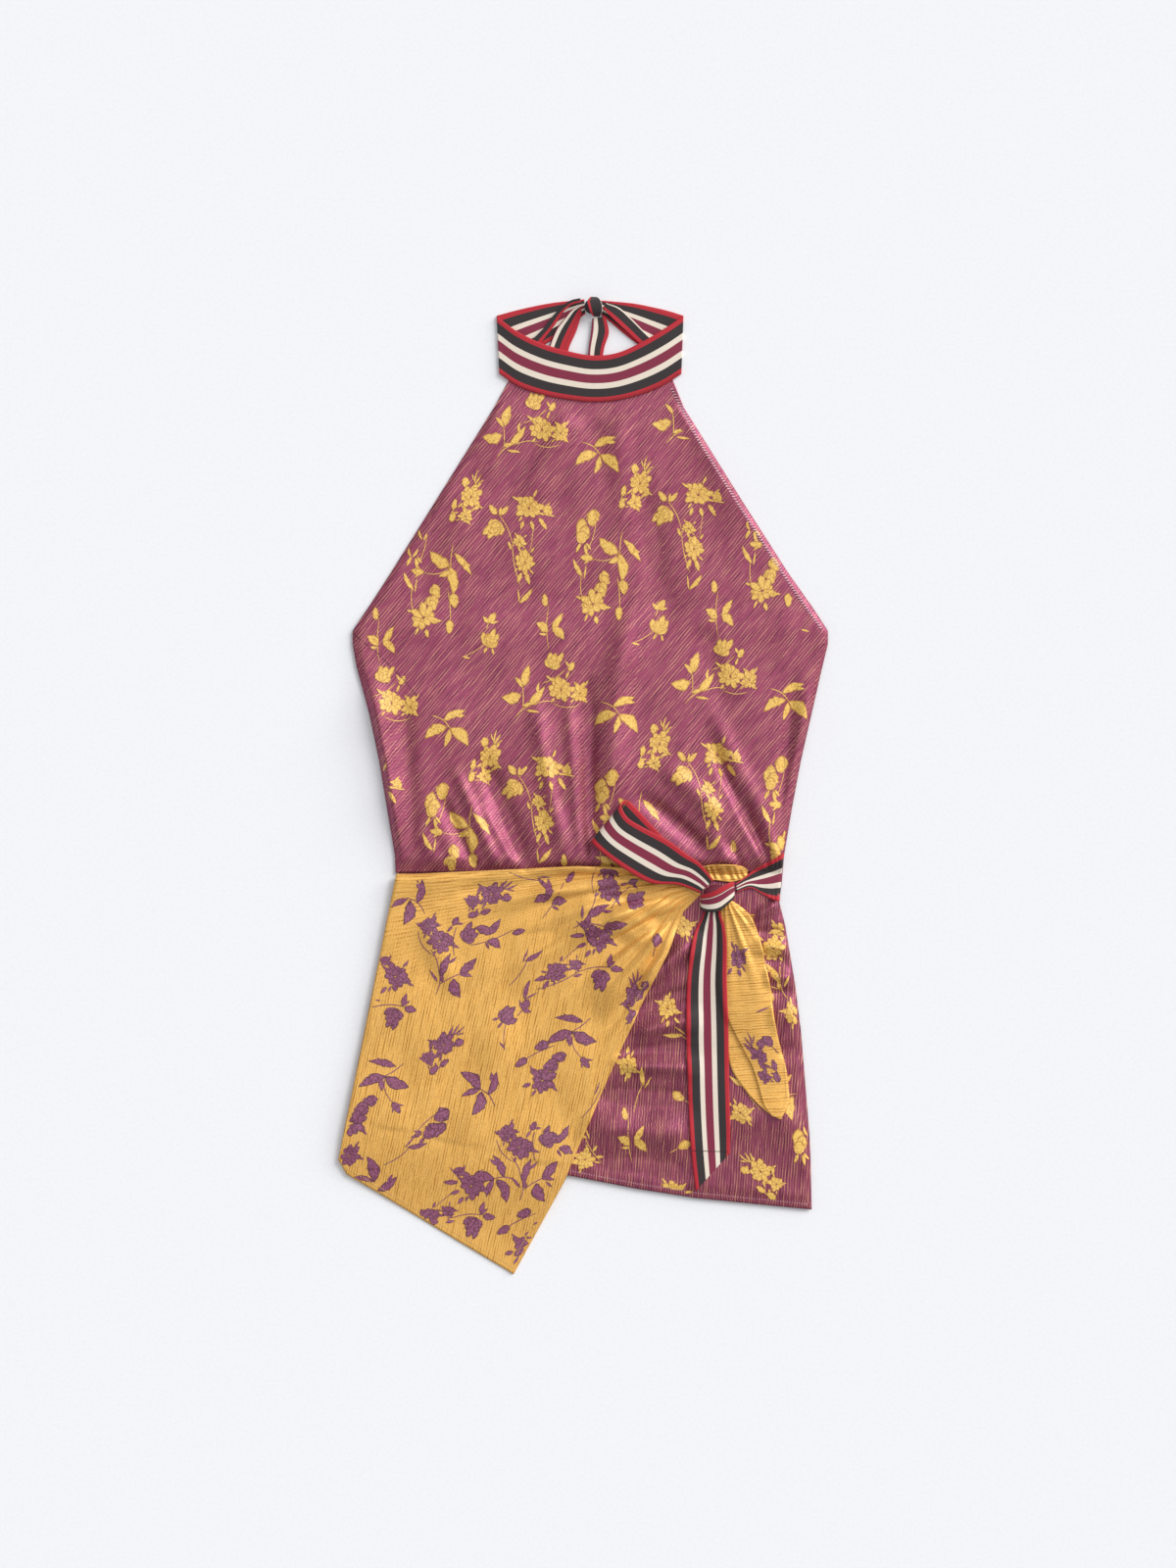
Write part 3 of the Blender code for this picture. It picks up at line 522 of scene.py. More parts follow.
def back(u, v):
    """Flat from its upper edge to a hem just inside the front's."""
    x = across_sides(u, v, BACK_TOP, BACK_INSET, BACK_INSET)
    y = BACK_TOP * (1 - v) + (hem(x) + BACK_INSET) * v
    return x, y, np.full_like(x, WALL)


def rim_rays():
    """Direction of each row of the fan's rim from its centre, and its place beside it."""
    x, y = FAN_RIM["x"] - FAN_CENTRE[0], FAN_RIM["y"] - FAN_CENTRE[1]
    return np.arctan2(y, x) % (2 * np.pi), x, y


def bows(distance):
    """Angles by which the fan's upper and right edges bow out at a distance from its centre."""
    edges = (np.interp(distance, FAN_EDGES["distance"], FAN_EDGES[name]) for name in ("top", "right"))
    return [edge / distance for edge in edges]


def fan_place(x, y):
    """Distance from the fan's centre, and place across it from its upper to its right edge."""
    rays, _, _ = rim_rays()
    x_out, y_out = x - FAN_CENTRE[0], y - FAN_CENTRE[1]
    distance = np.maximum(np.hypot(x_out, y_out), FAN_START)
    top, right = bows(distance)
    turned = np.arctan2(y_out, x_out) % (2 * np.pi) - rays[0] + top
    spread = rays[-1] - rays[0] + top + right
    return distance, np.clip(turned / spread, 0, 1), spread


def flap_top(x, y):
    """The wrap's top: clear of the front and down past its hem, plus pleats like rays, each a
    bell across the fan, the creases that cross them, the arch by the knot and its edges' rims."""
    distance, across, spread = fan_place(x, y)
    z = np.maximum(FLAP_REST, clear_of_front(x, y))
    z = np.maximum(z, OVER_HEM * ease((hem(x) + OVER_HEM_START - y) / OVER_HEM_LENGTH))
    z = z * ease((y - hem(x) + ON_SURFACE) / ON_SURFACE)
    rows = [(*row, PLEAT_RISE, PLEAT_FADE) for row in FLAP_PLEATS]
    rows += [(*row, CREASE_RISE, CREASE_FADE) for row in FLAP_CREASES]
    for place, width, start, end, height, rise, fade in rows:
        run = ease((distance - start * MM) / rise) * ease((end * MM - distance) / fade)
        z = z + height * MM * run * np.exp(-(((across * 100 - place) / width) ** 2))
    creased = z + soft_runs(x, y, FLAP_RUNS) * ease(distance / PLEAT_RISE)
    z = np.maximum(creased, np.minimum(z, clear_of_front(x, y)))
    arch = np.exp((FAN_START - distance) / THROAT_ARCH_LENGTH)
    z = z + THROAT_ARCH * arch * np.sin(np.pi * across) + WALL
    from_top, from_right = across * spread * distance, (1 - across) * spread * distance
    z = z + PIPING_HEIGHT * np.sqrt(np.clip(1 - (from_top / PIPING - 1) ** 2, 0, 1))
    return z + HEM_RISE * ease((HEM_WIDTH - from_right) / MM)


def fan_line(across, distance):
    """Places in plan of a place across the fan at a distance from its centre."""
    rays, _, _ = rim_rays()
    top, right = bows(distance)
    angle = rays[0] - top + (rays[-1] - rays[0] + top + right) * across
    return FAN_CENTRE[0] + distance * np.cos(angle), FAN_CENTRE[1] + distance * np.sin(angle)


def flap(u, v):
    """The wrap as a fan: u turns from its upper edge to its right one, v runs out to its rim."""
    rays, rim_x, rim_y = rim_rays()
    angle = polyline(rays, u)
    row = np.minimum((u * (len(rays) - 1)).astype(int), len(rays) - 2)
    x0, y0, run_x, run_y = rim_x[row], rim_y[row], np.diff(rim_x)[row], np.diff(rim_y)[row]
    rim = (x0 * run_y - y0 * run_x) / (np.cos(angle) * run_y - np.sin(angle) * run_x)
    distance = FAN_START + (rim - FAN_START) * v
    x, y = fan_line((angle - rays[0]) / (rays[-1] - rays[0]), distance)
    return x, y, flap_top(x, y)


def flap_map(u, down, x, y):
    """Along and across the pleats, whose yarns the wrap's gathered part follows."""
    distance, across, _ = fan_place(x, y)
    return -distance, -across * FAN_SPAN


def flap_gather(x, y):
    """Share by which the yarns turn towards the knot: all by it and along the upper edge."""
    distance, across, _ = fan_place(x, y)
    by_knot, by_edge = (YARN_GATHER - distance) / YARN_GATHER, (EDGE_GATHER - across) / EDGE_GATHER
    return np.maximum(ease(by_knot), ease(by_edge))


def ribbon(rows, on_front=False, on_tail=False):
    """A strip between two smooth edges, v along it and u across, clear of what lies below it."""

    def surface(u, v):
        a, b = ([smooth(rows[axis + edge], v) for axis in "xyz"] for edge in "ab")
        x, y, z = (start * (1 - u) + end * u for start, end in zip(a, b))
        z = np.maximum(z, clear_of_front(x, y) + WALL / 2) if on_front else z
        return x, y, np.maximum(z, over_tail(x, y)) if on_tail else z

    return surface


def fold_gathers(x, y):
    """Uneven gathers of the waist fold, a wave along it with a slower one in its step."""
    place = (x + FOLD_SLANT * (y - KNOT[1])) / FOLD_GATHER_LENGTH
    strength, rate = FOLD_UNEVEN
    return FOLD_GATHER * (1 + np.sin(2 * np.pi * place + strength * np.sin(rate * place)))


def waist_fold(u, v):
    """The wrap's edge beyond the knot: its ribbon of cloth, gathered between its two edges."""
    x, y, z = ribbon(WAIST_FOLD, True)(u, v)
    return x, y, z + fold_gathers(x, y) * np.sin(np.pi * u)


def ribbon_top(rest):
    """Height on a ribbon that lies at its rest height or clear of the front, from plan places."""
    return lambda x, y: np.maximum(rest, clear_of_front(x, y) + WALL / 2) + WALL / 2


def over_tail(x, y):
    """Height of a ribbon that rises smoothly on to the edge of the wrap's end."""
    v = np.interp(-y, -WRAP_TAIL["y_upper"], np.linspace(0, 1, len(WRAP_TAIL["y_upper"])))
    edge = smooth(WRAP_TAIL["x_upper"], v)
    on_it = np.maximum(x, edge + MM)
    return (tail_top(on_it, y) + GAP + WALL / 2) * ease((x - edge + OVER_TAIL) / OVER_TAIL) * (v < 1)


def tail_gathers(x, y):
    """Pleats of the wrap's end, like rays from the knot that fade out down it."""
    x_out, y_out = x - KNOT[0], y - KNOT[1]
    turned = np.degrees(np.arctan2(y_out, x_out))
    away = np.hypot(x_out, y_out)
    height = TAIL_PLEAT * ease((TAIL_PLEATS_END - away) / TAIL_PLEATS_END)
    return height * (sum(share * np.sin(turned * rate + start) for rate, share, start in TAIL_WAVES) + 1)


def tail_height(x, y, inward, v, turn):
    """Height of the wrap's end: on the front, a half turn round the fold, then a soft puff."""
    radius = (ROLL + WALL) / 2
    puff = TAIL_PUFF * ease((1 - v) / TAIL_PUFF_PART) + tail_gathers(x, y)
    puff = puff * np.sin(np.pi * inward) * (turn > np.pi / 2)
    return np.maximum(TAIL_REST, clear_of_front(x, y) + WALL / 2) + radius * (1 - np.cos(turn)) + puff


def wrap_tail(u, v):
    """Two layers joined along a fold: u runs over the under layer, the fold and the upper."""
    fold_x, fold_y, upper_x, upper_y, under_x, under_y = (smooth(rail, v) for rail in WRAP_TAIL.values())
    turn = np.clip((u - LAYER_SHARE) / FOLD_SHARE, 0, 1) * np.pi
    upper = (u - LAYER_SHARE - FOLD_SHARE) / LAYER_SHARE
    inward = np.where(u < 0.5, 1 - u / LAYER_SHARE, upper).clip(0, 1)
    radius = (ROLL + WALL) / 2
    edge_x = np.where(u < 0.5, under_x, upper_x)
    edge_y = np.where(u < 0.5, under_y, upper_y)
    x = fold_x + (edge_x - fold_x) * inward - radius + radius * np.sin(turn)
    y = fold_y + (edge_y - fold_y) * inward
    return x, y, tail_height(x, y, inward, v, turn)


def tail_top(x, y):
    """Top of the wrap's end at a place in plan."""
    v = np.interp(-y, -WRAP_TAIL["y_fold"], np.linspace(0, 1, len(WRAP_TAIL["y_fold"])))
    fold, upper = smooth(WRAP_TAIL["x_fold"], v), smooth(WRAP_TAIL["x_upper"], v)
    inward = np.clip((fold - x) / (fold - upper), 0, 1)
    return tail_height(x, y, inward, v, np.full_like(x, np.pi)) + WALL / 2


# ---------------------------------------------------------------- meshes
def put(name, points, quads, finish, uv=None, values=None, smooth_faces=True):
    """A mesh object from arrays, on the part's body, with its material."""
    mesh = bpy.data.meshes.new(name)
    mesh.from_pydata(points, [], quads)
    if uv is not None:
        corner = np.zeros(len(mesh.loops), int)
        mesh.loops.foreach_get("vertex_index", corner)
        layer = mesh.uv_layers.new(name="cloth")
        layer.data.foreach_set("uv", uv[corner].astype(np.float32).ravel())
    for key, value in (values or {}).items():
        mesh.attributes.new(key, "FLOAT", "POINT").data.foreach_set("value", value.astype(np.float32))
    if smooth_faces:
        mesh.shade_smooth()
    mesh.materials.append(finish)
    made = bpy.data.objects.new(name, mesh)
    bpy.context.scene.collection.objects.link(made)
    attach(made, "root")
    return made


def thicken(made, thickness, offset):
    """Gives a sheet its wall: offset -1 keeps the sheet on top of it, 0 in the middle."""
    wall = made.modifiers.new("Wall", "SOLIDIFY")
    wall.thickness = thickness
    wall.offset = offset


def cells(across, along):
    """Corner numbers of the quads of a grid of points, in rows of across + 1."""
    first = (np.arange(along)[:, None] * (across + 1) + np.arange(across)).ravel()
    return np.stack([first, first + 1, first + across + 2, first + across + 1], axis=1)


def cloth(name, surface, across, along, finish, offset=-1, cloth_map=None, gather=None):
    """A grid bent by the surface and thickened, with the cloth's own map laid on it in metres."""
    u, v = np.meshgrid(np.linspace(0, 1, across + 1), np.linspace(0, 1, along + 1))
    x, y, z = surface(u, v)
    points = np.stack([x, y, z], axis=-1)
    steps = np.linalg.norm(np.diff(points, axis=0), axis=-1).mean(axis=1)
    down = np.concatenate([[0], np.cumsum(steps)])[:, None] + np.zeros_like(u)
    uv = cloth_map(u, down, x, y) if cloth_map else (u, down)
    quads = cells(across, along)
    edge_u, edge_v = points[0, 1:] - points[0, :-1], points[1, :-1] - points[0, :-1]
    if np.cross(edge_u, edge_v)[:, 2].sum() < 0:
        quads = quads[:, ::-1]
    values = {"gathered": gather(x, y).ravel()} if gather else {}
    made = put(name, points.reshape(-1, 3), quads, finish, np.stack(uv, axis=-1).reshape(-1, 2), values)
    thicken(made, WALL, offset)
    return made


# ---------------------------------------------------------------- materials
CREPE_PERIOD = 2.4 * MM  # of the puckered runs, coarser than the real ones so that they show
WANDER = (70 * MM, 16 * MM, MM)  # the runs wander slowly over these lengths along and across
WANDER_TURNS = 6  # radians by which they do
BREAKS = (20 * MM, 0.7 * MM, 20 * MM)  # and break off over these
WAVE = 0.18  # share of the regular wave in their height
RIB = 1 * MM  # pitch of the grosgrain's ribs, also coarser than real


def linear(code):
    """An sRGB colour code as linear red, green, blue and 1."""
    shares = np.array([int(code[k : k + 2], 16) for k in (1, 3, 5)]) / 255
    return (*np.where(shares <= 0.04045, shares / 12.92, ((shares + 0.055) / 1.055) ** 2.4), 1)


def grey(value):
    """A grey as a linear colour."""
    return (value, value, value, 1)


def add(tree, kind, inputs=None, **settings):
    """Adds a node; inputs are values or another node's outputs, settings are its properties."""
    made = tree.nodes.new(kind)
    for key, value in settings.items():
        setattr(made, key, value)
    for key, value in (inputs or {}).items():
        if isinstance(value, bpy.types.NodeSocket):
            tree.links.new(value, made.inputs[key])
        else:
            made.inputs[key].default_value = value
    return made


def calculate(tree, operation, *values):
    """Result of a math node."""
    return add(tree, "ShaderNodeMath", dict(enumerate(values)), operation=operation).outputs[0]


def ramp(tree, factor, stops, interpolation="LINEAR"):
    """A colour ramp through stops of place and colour, read at the factor."""
    made = add(tree, "ShaderNodeValToRGB", {"Fac": factor})
    made.color_ramp.interpolation = interpolation
    elements = made.color_ramp.elements
    while len(elements) < len(stops):
        elements.new(0.5)
    for element, (place, colour) in zip(elements, stops):
        element.position = place
        element.color = colour
    return made.outputs["Color"]


def grain(tree, place, size, detail):
    """A noise with a grain of one size."""
    inputs = {"Vector": place, "Scale": 1 / size, "Detail": detail}
    return add(tree, "ShaderNodeTexNoise", inputs).outputs["Fac"]


def stretched(tree, place, sizes, detail):
    """A noise with a grain as long along each axis as the sizes say."""
    mapped = add(tree, "ShaderNodeMapping", {"Vector": place, "Scale": sizes}, vector_type="TEXTURE")
    return grain(tree, mapped.outputs[0], 1, detail)


def blank(name):
    """A new material and its node tree, with a shader and an output."""
    made = bpy.data.materials.new(name)
    made.use_nodes = True
    tree = made.node_tree
    return made, tree, tree.nodes["Principled BSDF"]


def finished(tree, shader, colour, sockets, height=None, strength=0, depth=0):
    """Feeds the shader a colour and a bump of a depth in mm, and sets its other sockets."""
    tree.links.new(colour, shader.inputs["Base Color"])
    if height is not None:
        bump = add(tree, "ShaderNodeBump", {"Height": height, "Strength": strength, "Distance": depth * MM})
        tree.links.new(bump.outputs[0], shader.inputs["Normal"])
    for name, value in sockets.items():
        shader.inputs[name].default_value = value


def yarns(tree, places, weight):
    """Height of a crepe: parallel runs a period apart that wander a little and break off. With
    two places on the cloth it turns from the first to the second by the weight."""
    heights = []
    for place in places:
        aside = add(tree, "ShaderNodeSeparateXYZ", {0: place}).outputs["Y"]
        turns = calculate(tree, "MULTIPLY", aside, 2 * np.pi / CREPE_PERIOD)
        phase = calculate(tree, "MULTIPLY_ADD", stretched(tree, place, WANDER, 1), WANDER_TURNS, turns)
        breaks = stretched(tree, place, BREAKS, 2)
        heights.append(calculate(tree, "MULTIPLY_ADD", calculate(tree, "SINE", phase), WAVE, breaks))
    if len(heights) == 1:
        return heights[0]
    return add(tree, "ShaderNodeMix", {"Factor": weight, "A": heights[0], "B": heights[1]}).outputs["Result"]


def cloth_places(tree, direction, gathered):
    """Where a point lies on the cloth, with the first axis along its yarns, as a list of one place,
    or of two for a gathered cloth, whose own map follows its pleats, and the weight of the second."""
    place = add(tree, "ShaderNodeTexCoord")
    turned = {"Vector": place.outputs["Object"], "Rotation": (0, 0, np.radians(direction))}
    plain = add(tree, "ShaderNodeMapping", turned, vector_type="TEXTURE").outputs[0]
    if not gathered:
        return [plain], None
    weight = add(tree, "ShaderNodeAttribute", attribute_name="gathered").outputs["Fac"]
    return [plain, place.outputs["UV"]], weight


def crepe(name, dark, ground, light, gloss, direction, gathered=False):
    """Satin crepe: hard-twisted yarns pucker it into runs, sunk ones painted dark as painted shade in
    their hollows and raised ones paler, partly the other face's colour and partly a painted highlight.
    Its long floats mirror softly, in the dye's own tint."""
    made, tree, shader = blank(name)
    places, weight = cloth_places(tree, direction, gathered)
    height = yarns(tree, places, weight)
    mottle = grain(tree, places[0], 1.2 * MM, 2)
    # Tones by the runs' height: painted shade where sunk, the ground between, and where raised the paler
    # colour with its painted highlight.
    tones = zip((0.22, 0.42, 0.60, 0.78), map(linear, (dark, ground, ground, light)))
    speck = ramp(tree, mottle, ((0.35, grey(0.84)), (0.65, grey(1.1))))
    both = {0: 1.0, 6: ramp(tree, height, list(tones)), 7: speck}
    colour = add(tree, "ShaderNodeMix", both, data_type="RGBA", blend_type="MULTIPLY").outputs[2]
    sockets = {"Roughness": 0.46, "Metallic": 0.3, "IOR": 1.54, "Specular IOR Level": 0.75}
    finished(tree, shader, colour, {**sockets, "Specular Tint": linear(gloss)}, height, 0.5, 0.25)
    return made


def brocade(name, shade, ground, light, direction):
    """Floating satin threads of a woven flower: mottled with painted highlights where they catch the
    light and painted shade where they don't, and each petal and leaf has a darker line at its edge,
    where the threads are bound down."""
    made, tree, shader = blank(name)
    places, _ = cloth_places(tree, direction, False)
    height = grain(tree, places[0], 1.3 * MM, 2)
    rim = add(tree, "ShaderNodeAttribute", attribute_name="rim").outputs["Fac"]
    # The mottle follows the bump's noise: painted shade where it is low, painted highlight where it is high.
    body = ramp(tree, height, ((0.30, linear(shade)), (0.44, linear(ground)), (0.62, linear(light))))
    edge = ramp(tree, rim, ((0.06, grey(0.95)), (0.3, grey(0))))
    colour = add(tree, "ShaderNodeMix", {0: edge, 6: body, 7: linear(shade)}, data_type="RGBA").outputs[2]
    finished(tree, shader, colour, {"Roughness": 0.45, "IOR": 1.54}, height, 0.4, 0.25)
    return made


def grosgrain(name):
    """Ribbed ribbon: lengthwise bands of dyed warp, matt, with ribs across them, each painted paler on
    its crest and darker in its groove, as painted highlight and shade.
    """
    made, tree, shader = blank(name)
    place = add(tree, "ShaderNodeTexCoord").outputs["UV"]
    across, along, _ = add(tree, "ShaderNodeSeparateXYZ", {0: place}).outputs
    colours = {"red": "#B81A2A", "black": "#2B2122", "cream": "#EADCCB", "wine": "#821F3C"}
    starts = (0, 0.105, 0.293, 0.407, 0.595, 0.715, 0.895)
    bands = ("red", "black", "cream", "wine", "cream", "black", "red")
    stops = [(start, linear(colours[band])) for start, band in zip(starts, bands)]
    stripes = ramp(tree, across, stops, "CONSTANT")
    ribs = calculate(tree, "SINE", calculate(tree, "MULTIPLY", along, 2 * np.pi / RIB))
    # Painted shade and highlight of the ribs: the stripes are darker in each groove and paler on each crest.
    shade = add(tree, "ShaderNodeMapRange", {0: ribs, 1: -1, 2: 1, 3: 0.92, 4: 1.04}).outputs[0]
    lit = add(tree, "ShaderNodeVectorMath", {0: stripes, "Scale": shade}, operation="SCALE").outputs[0]
    finished(tree, shader, lit, {"Roughness": 0.72, "IOR": 1.5, "Sheen Weight": 0.1}, ribs, 0.3, 0.1)
    return made


def thread(name, code):
    """Sewing thread: spun polyester, with a low gloss and a fine twist."""
    made, tree, shader = blank(name)
    place = add(tree, "ShaderNodeTexCoord").outputs["Object"]
    darker = tuple(0.7 * part for part in linear(code)[:3]) + (1,)
    colour = ramp(tree, grain(tree, place, 0.6 * MM, 1), ((0.4, darker), (0.6, linear(code))))
    finished(tree, shader, colour, {"Roughness": 0.55})
    return made


# ---------------------------------------------------------------- woven pattern
PART_GRID = (9, 3)  # quads along and across a part of a flower
STITCH_GRID = (4, 2)
PROFILES = {
    # kind: where along it is widest, as a power of the place, and how blunt its ends are
    "leaf": (0.85, 0.95),
    "petal": (1.35, 0.62),
    "bud": (0.8, 0.6),
    "stem": (1.0, 0.12),
    "stitch": (1.0, 0.35),
}
TIP = 0.004  # share of a strip at which its ends are cut, so that they keep a width
RIM_REACH = 2.5  # the rim's value grows by this over a strip's length, and by 1 over half its width
RAGGED = 0.2  # the weave steps a flower's edge by this share of its half width
UNEVEN = 0.2  # share by which a bloom's petals differ in length
SPRAY_SIZE = 0.92
BLOOM_SIZE = 0.9
LAYERS, LAYER = 24, 0.014 * MM  # the parts of a spray lie a little above each other, in turn
EDGE, FAN_EDGE = 0.5 * MM, 0.7 * MM  # flowers end this far inside a panel, and inside the wrap
FLOWER_LIFT, FLOWER_WALL = 0.14 * MM, 0.3 * MM
STITCH_LIFT, STITCH_WALL = 0.35 * MM, 0.5 * MM


def turned_by(x, y, turn, x0=0, y0=0):
    """A place turned about the origin and moved to x0, y0."""
    return x0 + x * np.cos(turn) - y * np.sin(turn), y0 + x * np.sin(turn) + y * np.cos(turn)


def spray_parts(name):
    """A spray's parts as rows, with each bloom opened out into its uneven petals."""
    found = []
    for kind, x, y, direction, length, width, bend in SPRAYS[name]:
        x, y, length, width = (size * SPRAY_SIZE for size in (x, y, length, width))
        if kind not in BLOOMS:
            found.append((kind, x, y, direction, length, width, bend))
            continue
        length, width = BLOOM_SIZE * length, BLOOM_SIZE * width
        spin = np.radians(direction)
        for k, (part, along, aside, heading, reach, wide, bow) in enumerate(BLOOMS[kind]):
            foot = turned_by(along * length, aside * width, spin, x, y)
            slant = np.radians(heading)
            out, off = length * np.cos(slant), width * np.sin(slant)
            uneven = 1 + UNEVEN * np.sin(5 * k + 3 * length + x)
            size = (np.hypot(out, off) * reach * uneven, wide * (length + width) / 2, bow * length)
            found.append((part, *foot, direction + np.degrees(np.arctan2(off, out)), *size))
    return found


def strips(name, rows, kinds, top, inside, finish, slot, size, ragged, lift, wall):
    """Thin raised strips as one mesh. Each runs along a bent line and is as wide as
    sin(pi * t**a)**b times its width, lies on top() and is left out where it leaves inside()."""
    along, across = size
    x, y, heading, length, width, bend, order = (column[:, None, None] for column in np.array(rows).T)
    power, blunt = (column[:, None, None] for column in np.array([PROFILES[kind] for kind in kinds]).T)
    t = np.linspace(0, 1, along + 1)[None, :, None]
    s = np.linspace(-1, 1, across + 1)[None, None, :]
    rng = np.random.default_rng(7)
    rag = 1 + ragged * rng.uniform(-1, 1, (len(rows), along + 1, 2))
    rag = rag[:, :, (np.arange(across + 1) * 2 > across).astype(int)]
    half = width / 2 * np.sin(np.pi * np.clip(t, TIP, 1 - TIP) ** power) ** blunt * rag
    places = turned_by(t * length, bend * np.sin(np.pi * t) + s * half, heading, x, y)
    px, py = (place * MM for place in places)
    kept = inside(px, py).all(axis=(1, 2))
    px, py = px[kept], py[kept]
    pz = top(px, py) + lift + LAYER * (order[kept] % LAYERS)
    rim = np.minimum(1 - abs(s), np.minimum(t, 1 - t) * RIM_REACH) + np.zeros_like(px)
    first = np.arange(len(px))[:, None, None] * (along + 1) * (across + 1)
    quads = (cells(across, along)[None] + first).reshape(-1, 4)[:, ::-1]
    points = np.stack([px, py, pz], axis=-1).reshape(-1, 3)
    made = put(name, points, quads, finish, values={"rim": rim.ravel()}, smooth_faces=False)
    thicken(made, wall, -1)
    return made


def motifs(name, places, top, inside, finish, slot, mirrored=False):
    """Sprays at their places, each part a strip of floating threads just above the cloth."""
    rows, kinds = [], []
    flip = -1 if mirrored else 1
    for spray, x, y, turn in places:
        spin = np.radians(turn)
        for order, (kind, px, py, direction, length, width, bend) in enumerate(spray_parts(spray)):
            heading = np.radians(180 - direction if mirrored else direction) + spin
            rows.append((*turned_by(flip * px, py, spin, x, y), heading, length, width, flip * bend, order))
            kinds.append(kind)
    made = (rows, kinds, top, inside, finish, slot, PART_GRID)
    return strips(name, *made, ragged=RAGGED, lift=FLOWER_LIFT, wall=FLOWER_WALL)


def sewing(name, points, pitch, length, width, turn, top, finish, slot):
    """A row of stitches: a strip each pitch along the points, all in mm, turned from the run."""
    points = np.array(points)
    runs = np.diff(points, axis=0)
    down = np.concatenate([[0], np.cumsum(np.hypot(*runs.T))])
    at = np.arange(pitch / 2, down[-1], pitch)
    run = np.minimum(np.searchsorted(down, at, side="right") - 1, len(runs) - 1)
    heading = np.arctan2(*runs.T[::-1])[run] + np.radians(turn)
    x = np.interp(at, down, points[:, 0]) - length / 2 * np.cos(heading)
    y = np.interp(at, down, points[:, 1]) - length / 2 * np.sin(heading)
    rows = np.stack([x, y, heading, *(np.full_like(x, value) for value in (length, width, 0, 0))], axis=1)
    made = (rows, ["stitch"] * len(rows), top, lambda x, y: np.ones_like(x, bool), finish, slot, STITCH_GRID)
    return strips(name, *made, ragged=0, lift=STITCH_LIFT, wall=STITCH_WALL)


# ---------------------------------------------------------------- properties and operators
class WrapTopCloth(bpy.types.PropertyGroup):
    """Colours of the crepe, as sRGB codes, and the fineness of the panels"""

    ground: bpy.props.StringProperty(name="Ground", description="The front's crepe", default="#9C4B5E")
    gold: bpy.props.StringProperty(name="Gold", description="The wrap's face", default="#EDB45E")
    rows: bpy.props.IntProperty(name="Rows", description="Of quads in a panel", default=200, min=20, max=210)


class WrapTopStage(bpy.types.PropertyGroup):
    """Place of the camera"""

    distance: bpy.props.FloatProperty(
        name="Distance", description="From the surface", default=4.0, min=2.0, max=8.0, unit="LENGTH"
    )


class WRAPTOP_OT_panels(bpy.types.Operator):
    """Makes the front's two panels and the back from the crepe's purple face"""

    bl_idname = "wraptop.panels"
    bl_label = "Front and back"

    def execute(self, context):
        sizes = context.scene.wrap_top_cloth
        # Crepe tones: painted shade of the sunk runs, the ground, the paler raised runs with their painted
        # highlight, and the gloss's tint.
        finish = crepe("satin_crepe_bias", "#5E2C34", sizes.ground, "#CE9078", "#E8A0E4", 50)
        straight = crepe("satin_crepe_straight", "#4C2226", "#8E4554", "#CC9070", "#E8A0E4", 86)
        front = cloth("bodice_cloth", bodice, 180, sizes.rows, finish)
        below = cloth("skirt_cloth", skirt, 150, 140, straight)
        behind = cloth("back_cloth", back, 30, 40, straight)
        # Brocade tones: painted shade, ground and painted highlight of the mottle; the first also draws each
        # part's edge line.
        golds = ("#A8702E", "#E6B452", "#F4CA68")
        gold = brocade("gold_brocade_bias", *golds, 58)
        gold_straight = brocade("gold_brocade_straight", *golds, 86)

        def within_bodice(x, y):
            inside = (x > side("left", y) + EDGE) & (x < side("right", y) - EDGE)
            return inside & (y > WAIST + EDGE) & (y < neckline(x) - EDGE)

        def within_skirt(x, y):
            inside = (x > side("left", y) + 2 * BACK_INSET) & (x < side("right", y) - EDGE)
            return inside & (y < WAIST - 2 * EDGE) & (y > hem(x) + EDGE)

        places = []
        for i, j in REPEATS:
            shift = (STEP_ACROSS * i + STEP_DOWN * j) / MM
            places += [(spray, x + shift[0], y + shift[1], turn) for spray, x, y, turn in CELL]
        flowers = motifs("bodice_motifs", places, front_top, within_bodice, gold, FACE)
        lower = motifs("skirt_motifs", SKIRT_SPRAYS, front_top, within_skirt, gold_straight, FACE)
        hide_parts("front_bodice")
        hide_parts("front_skirt")
        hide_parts("back_panel")
        return {"FINISHED"}


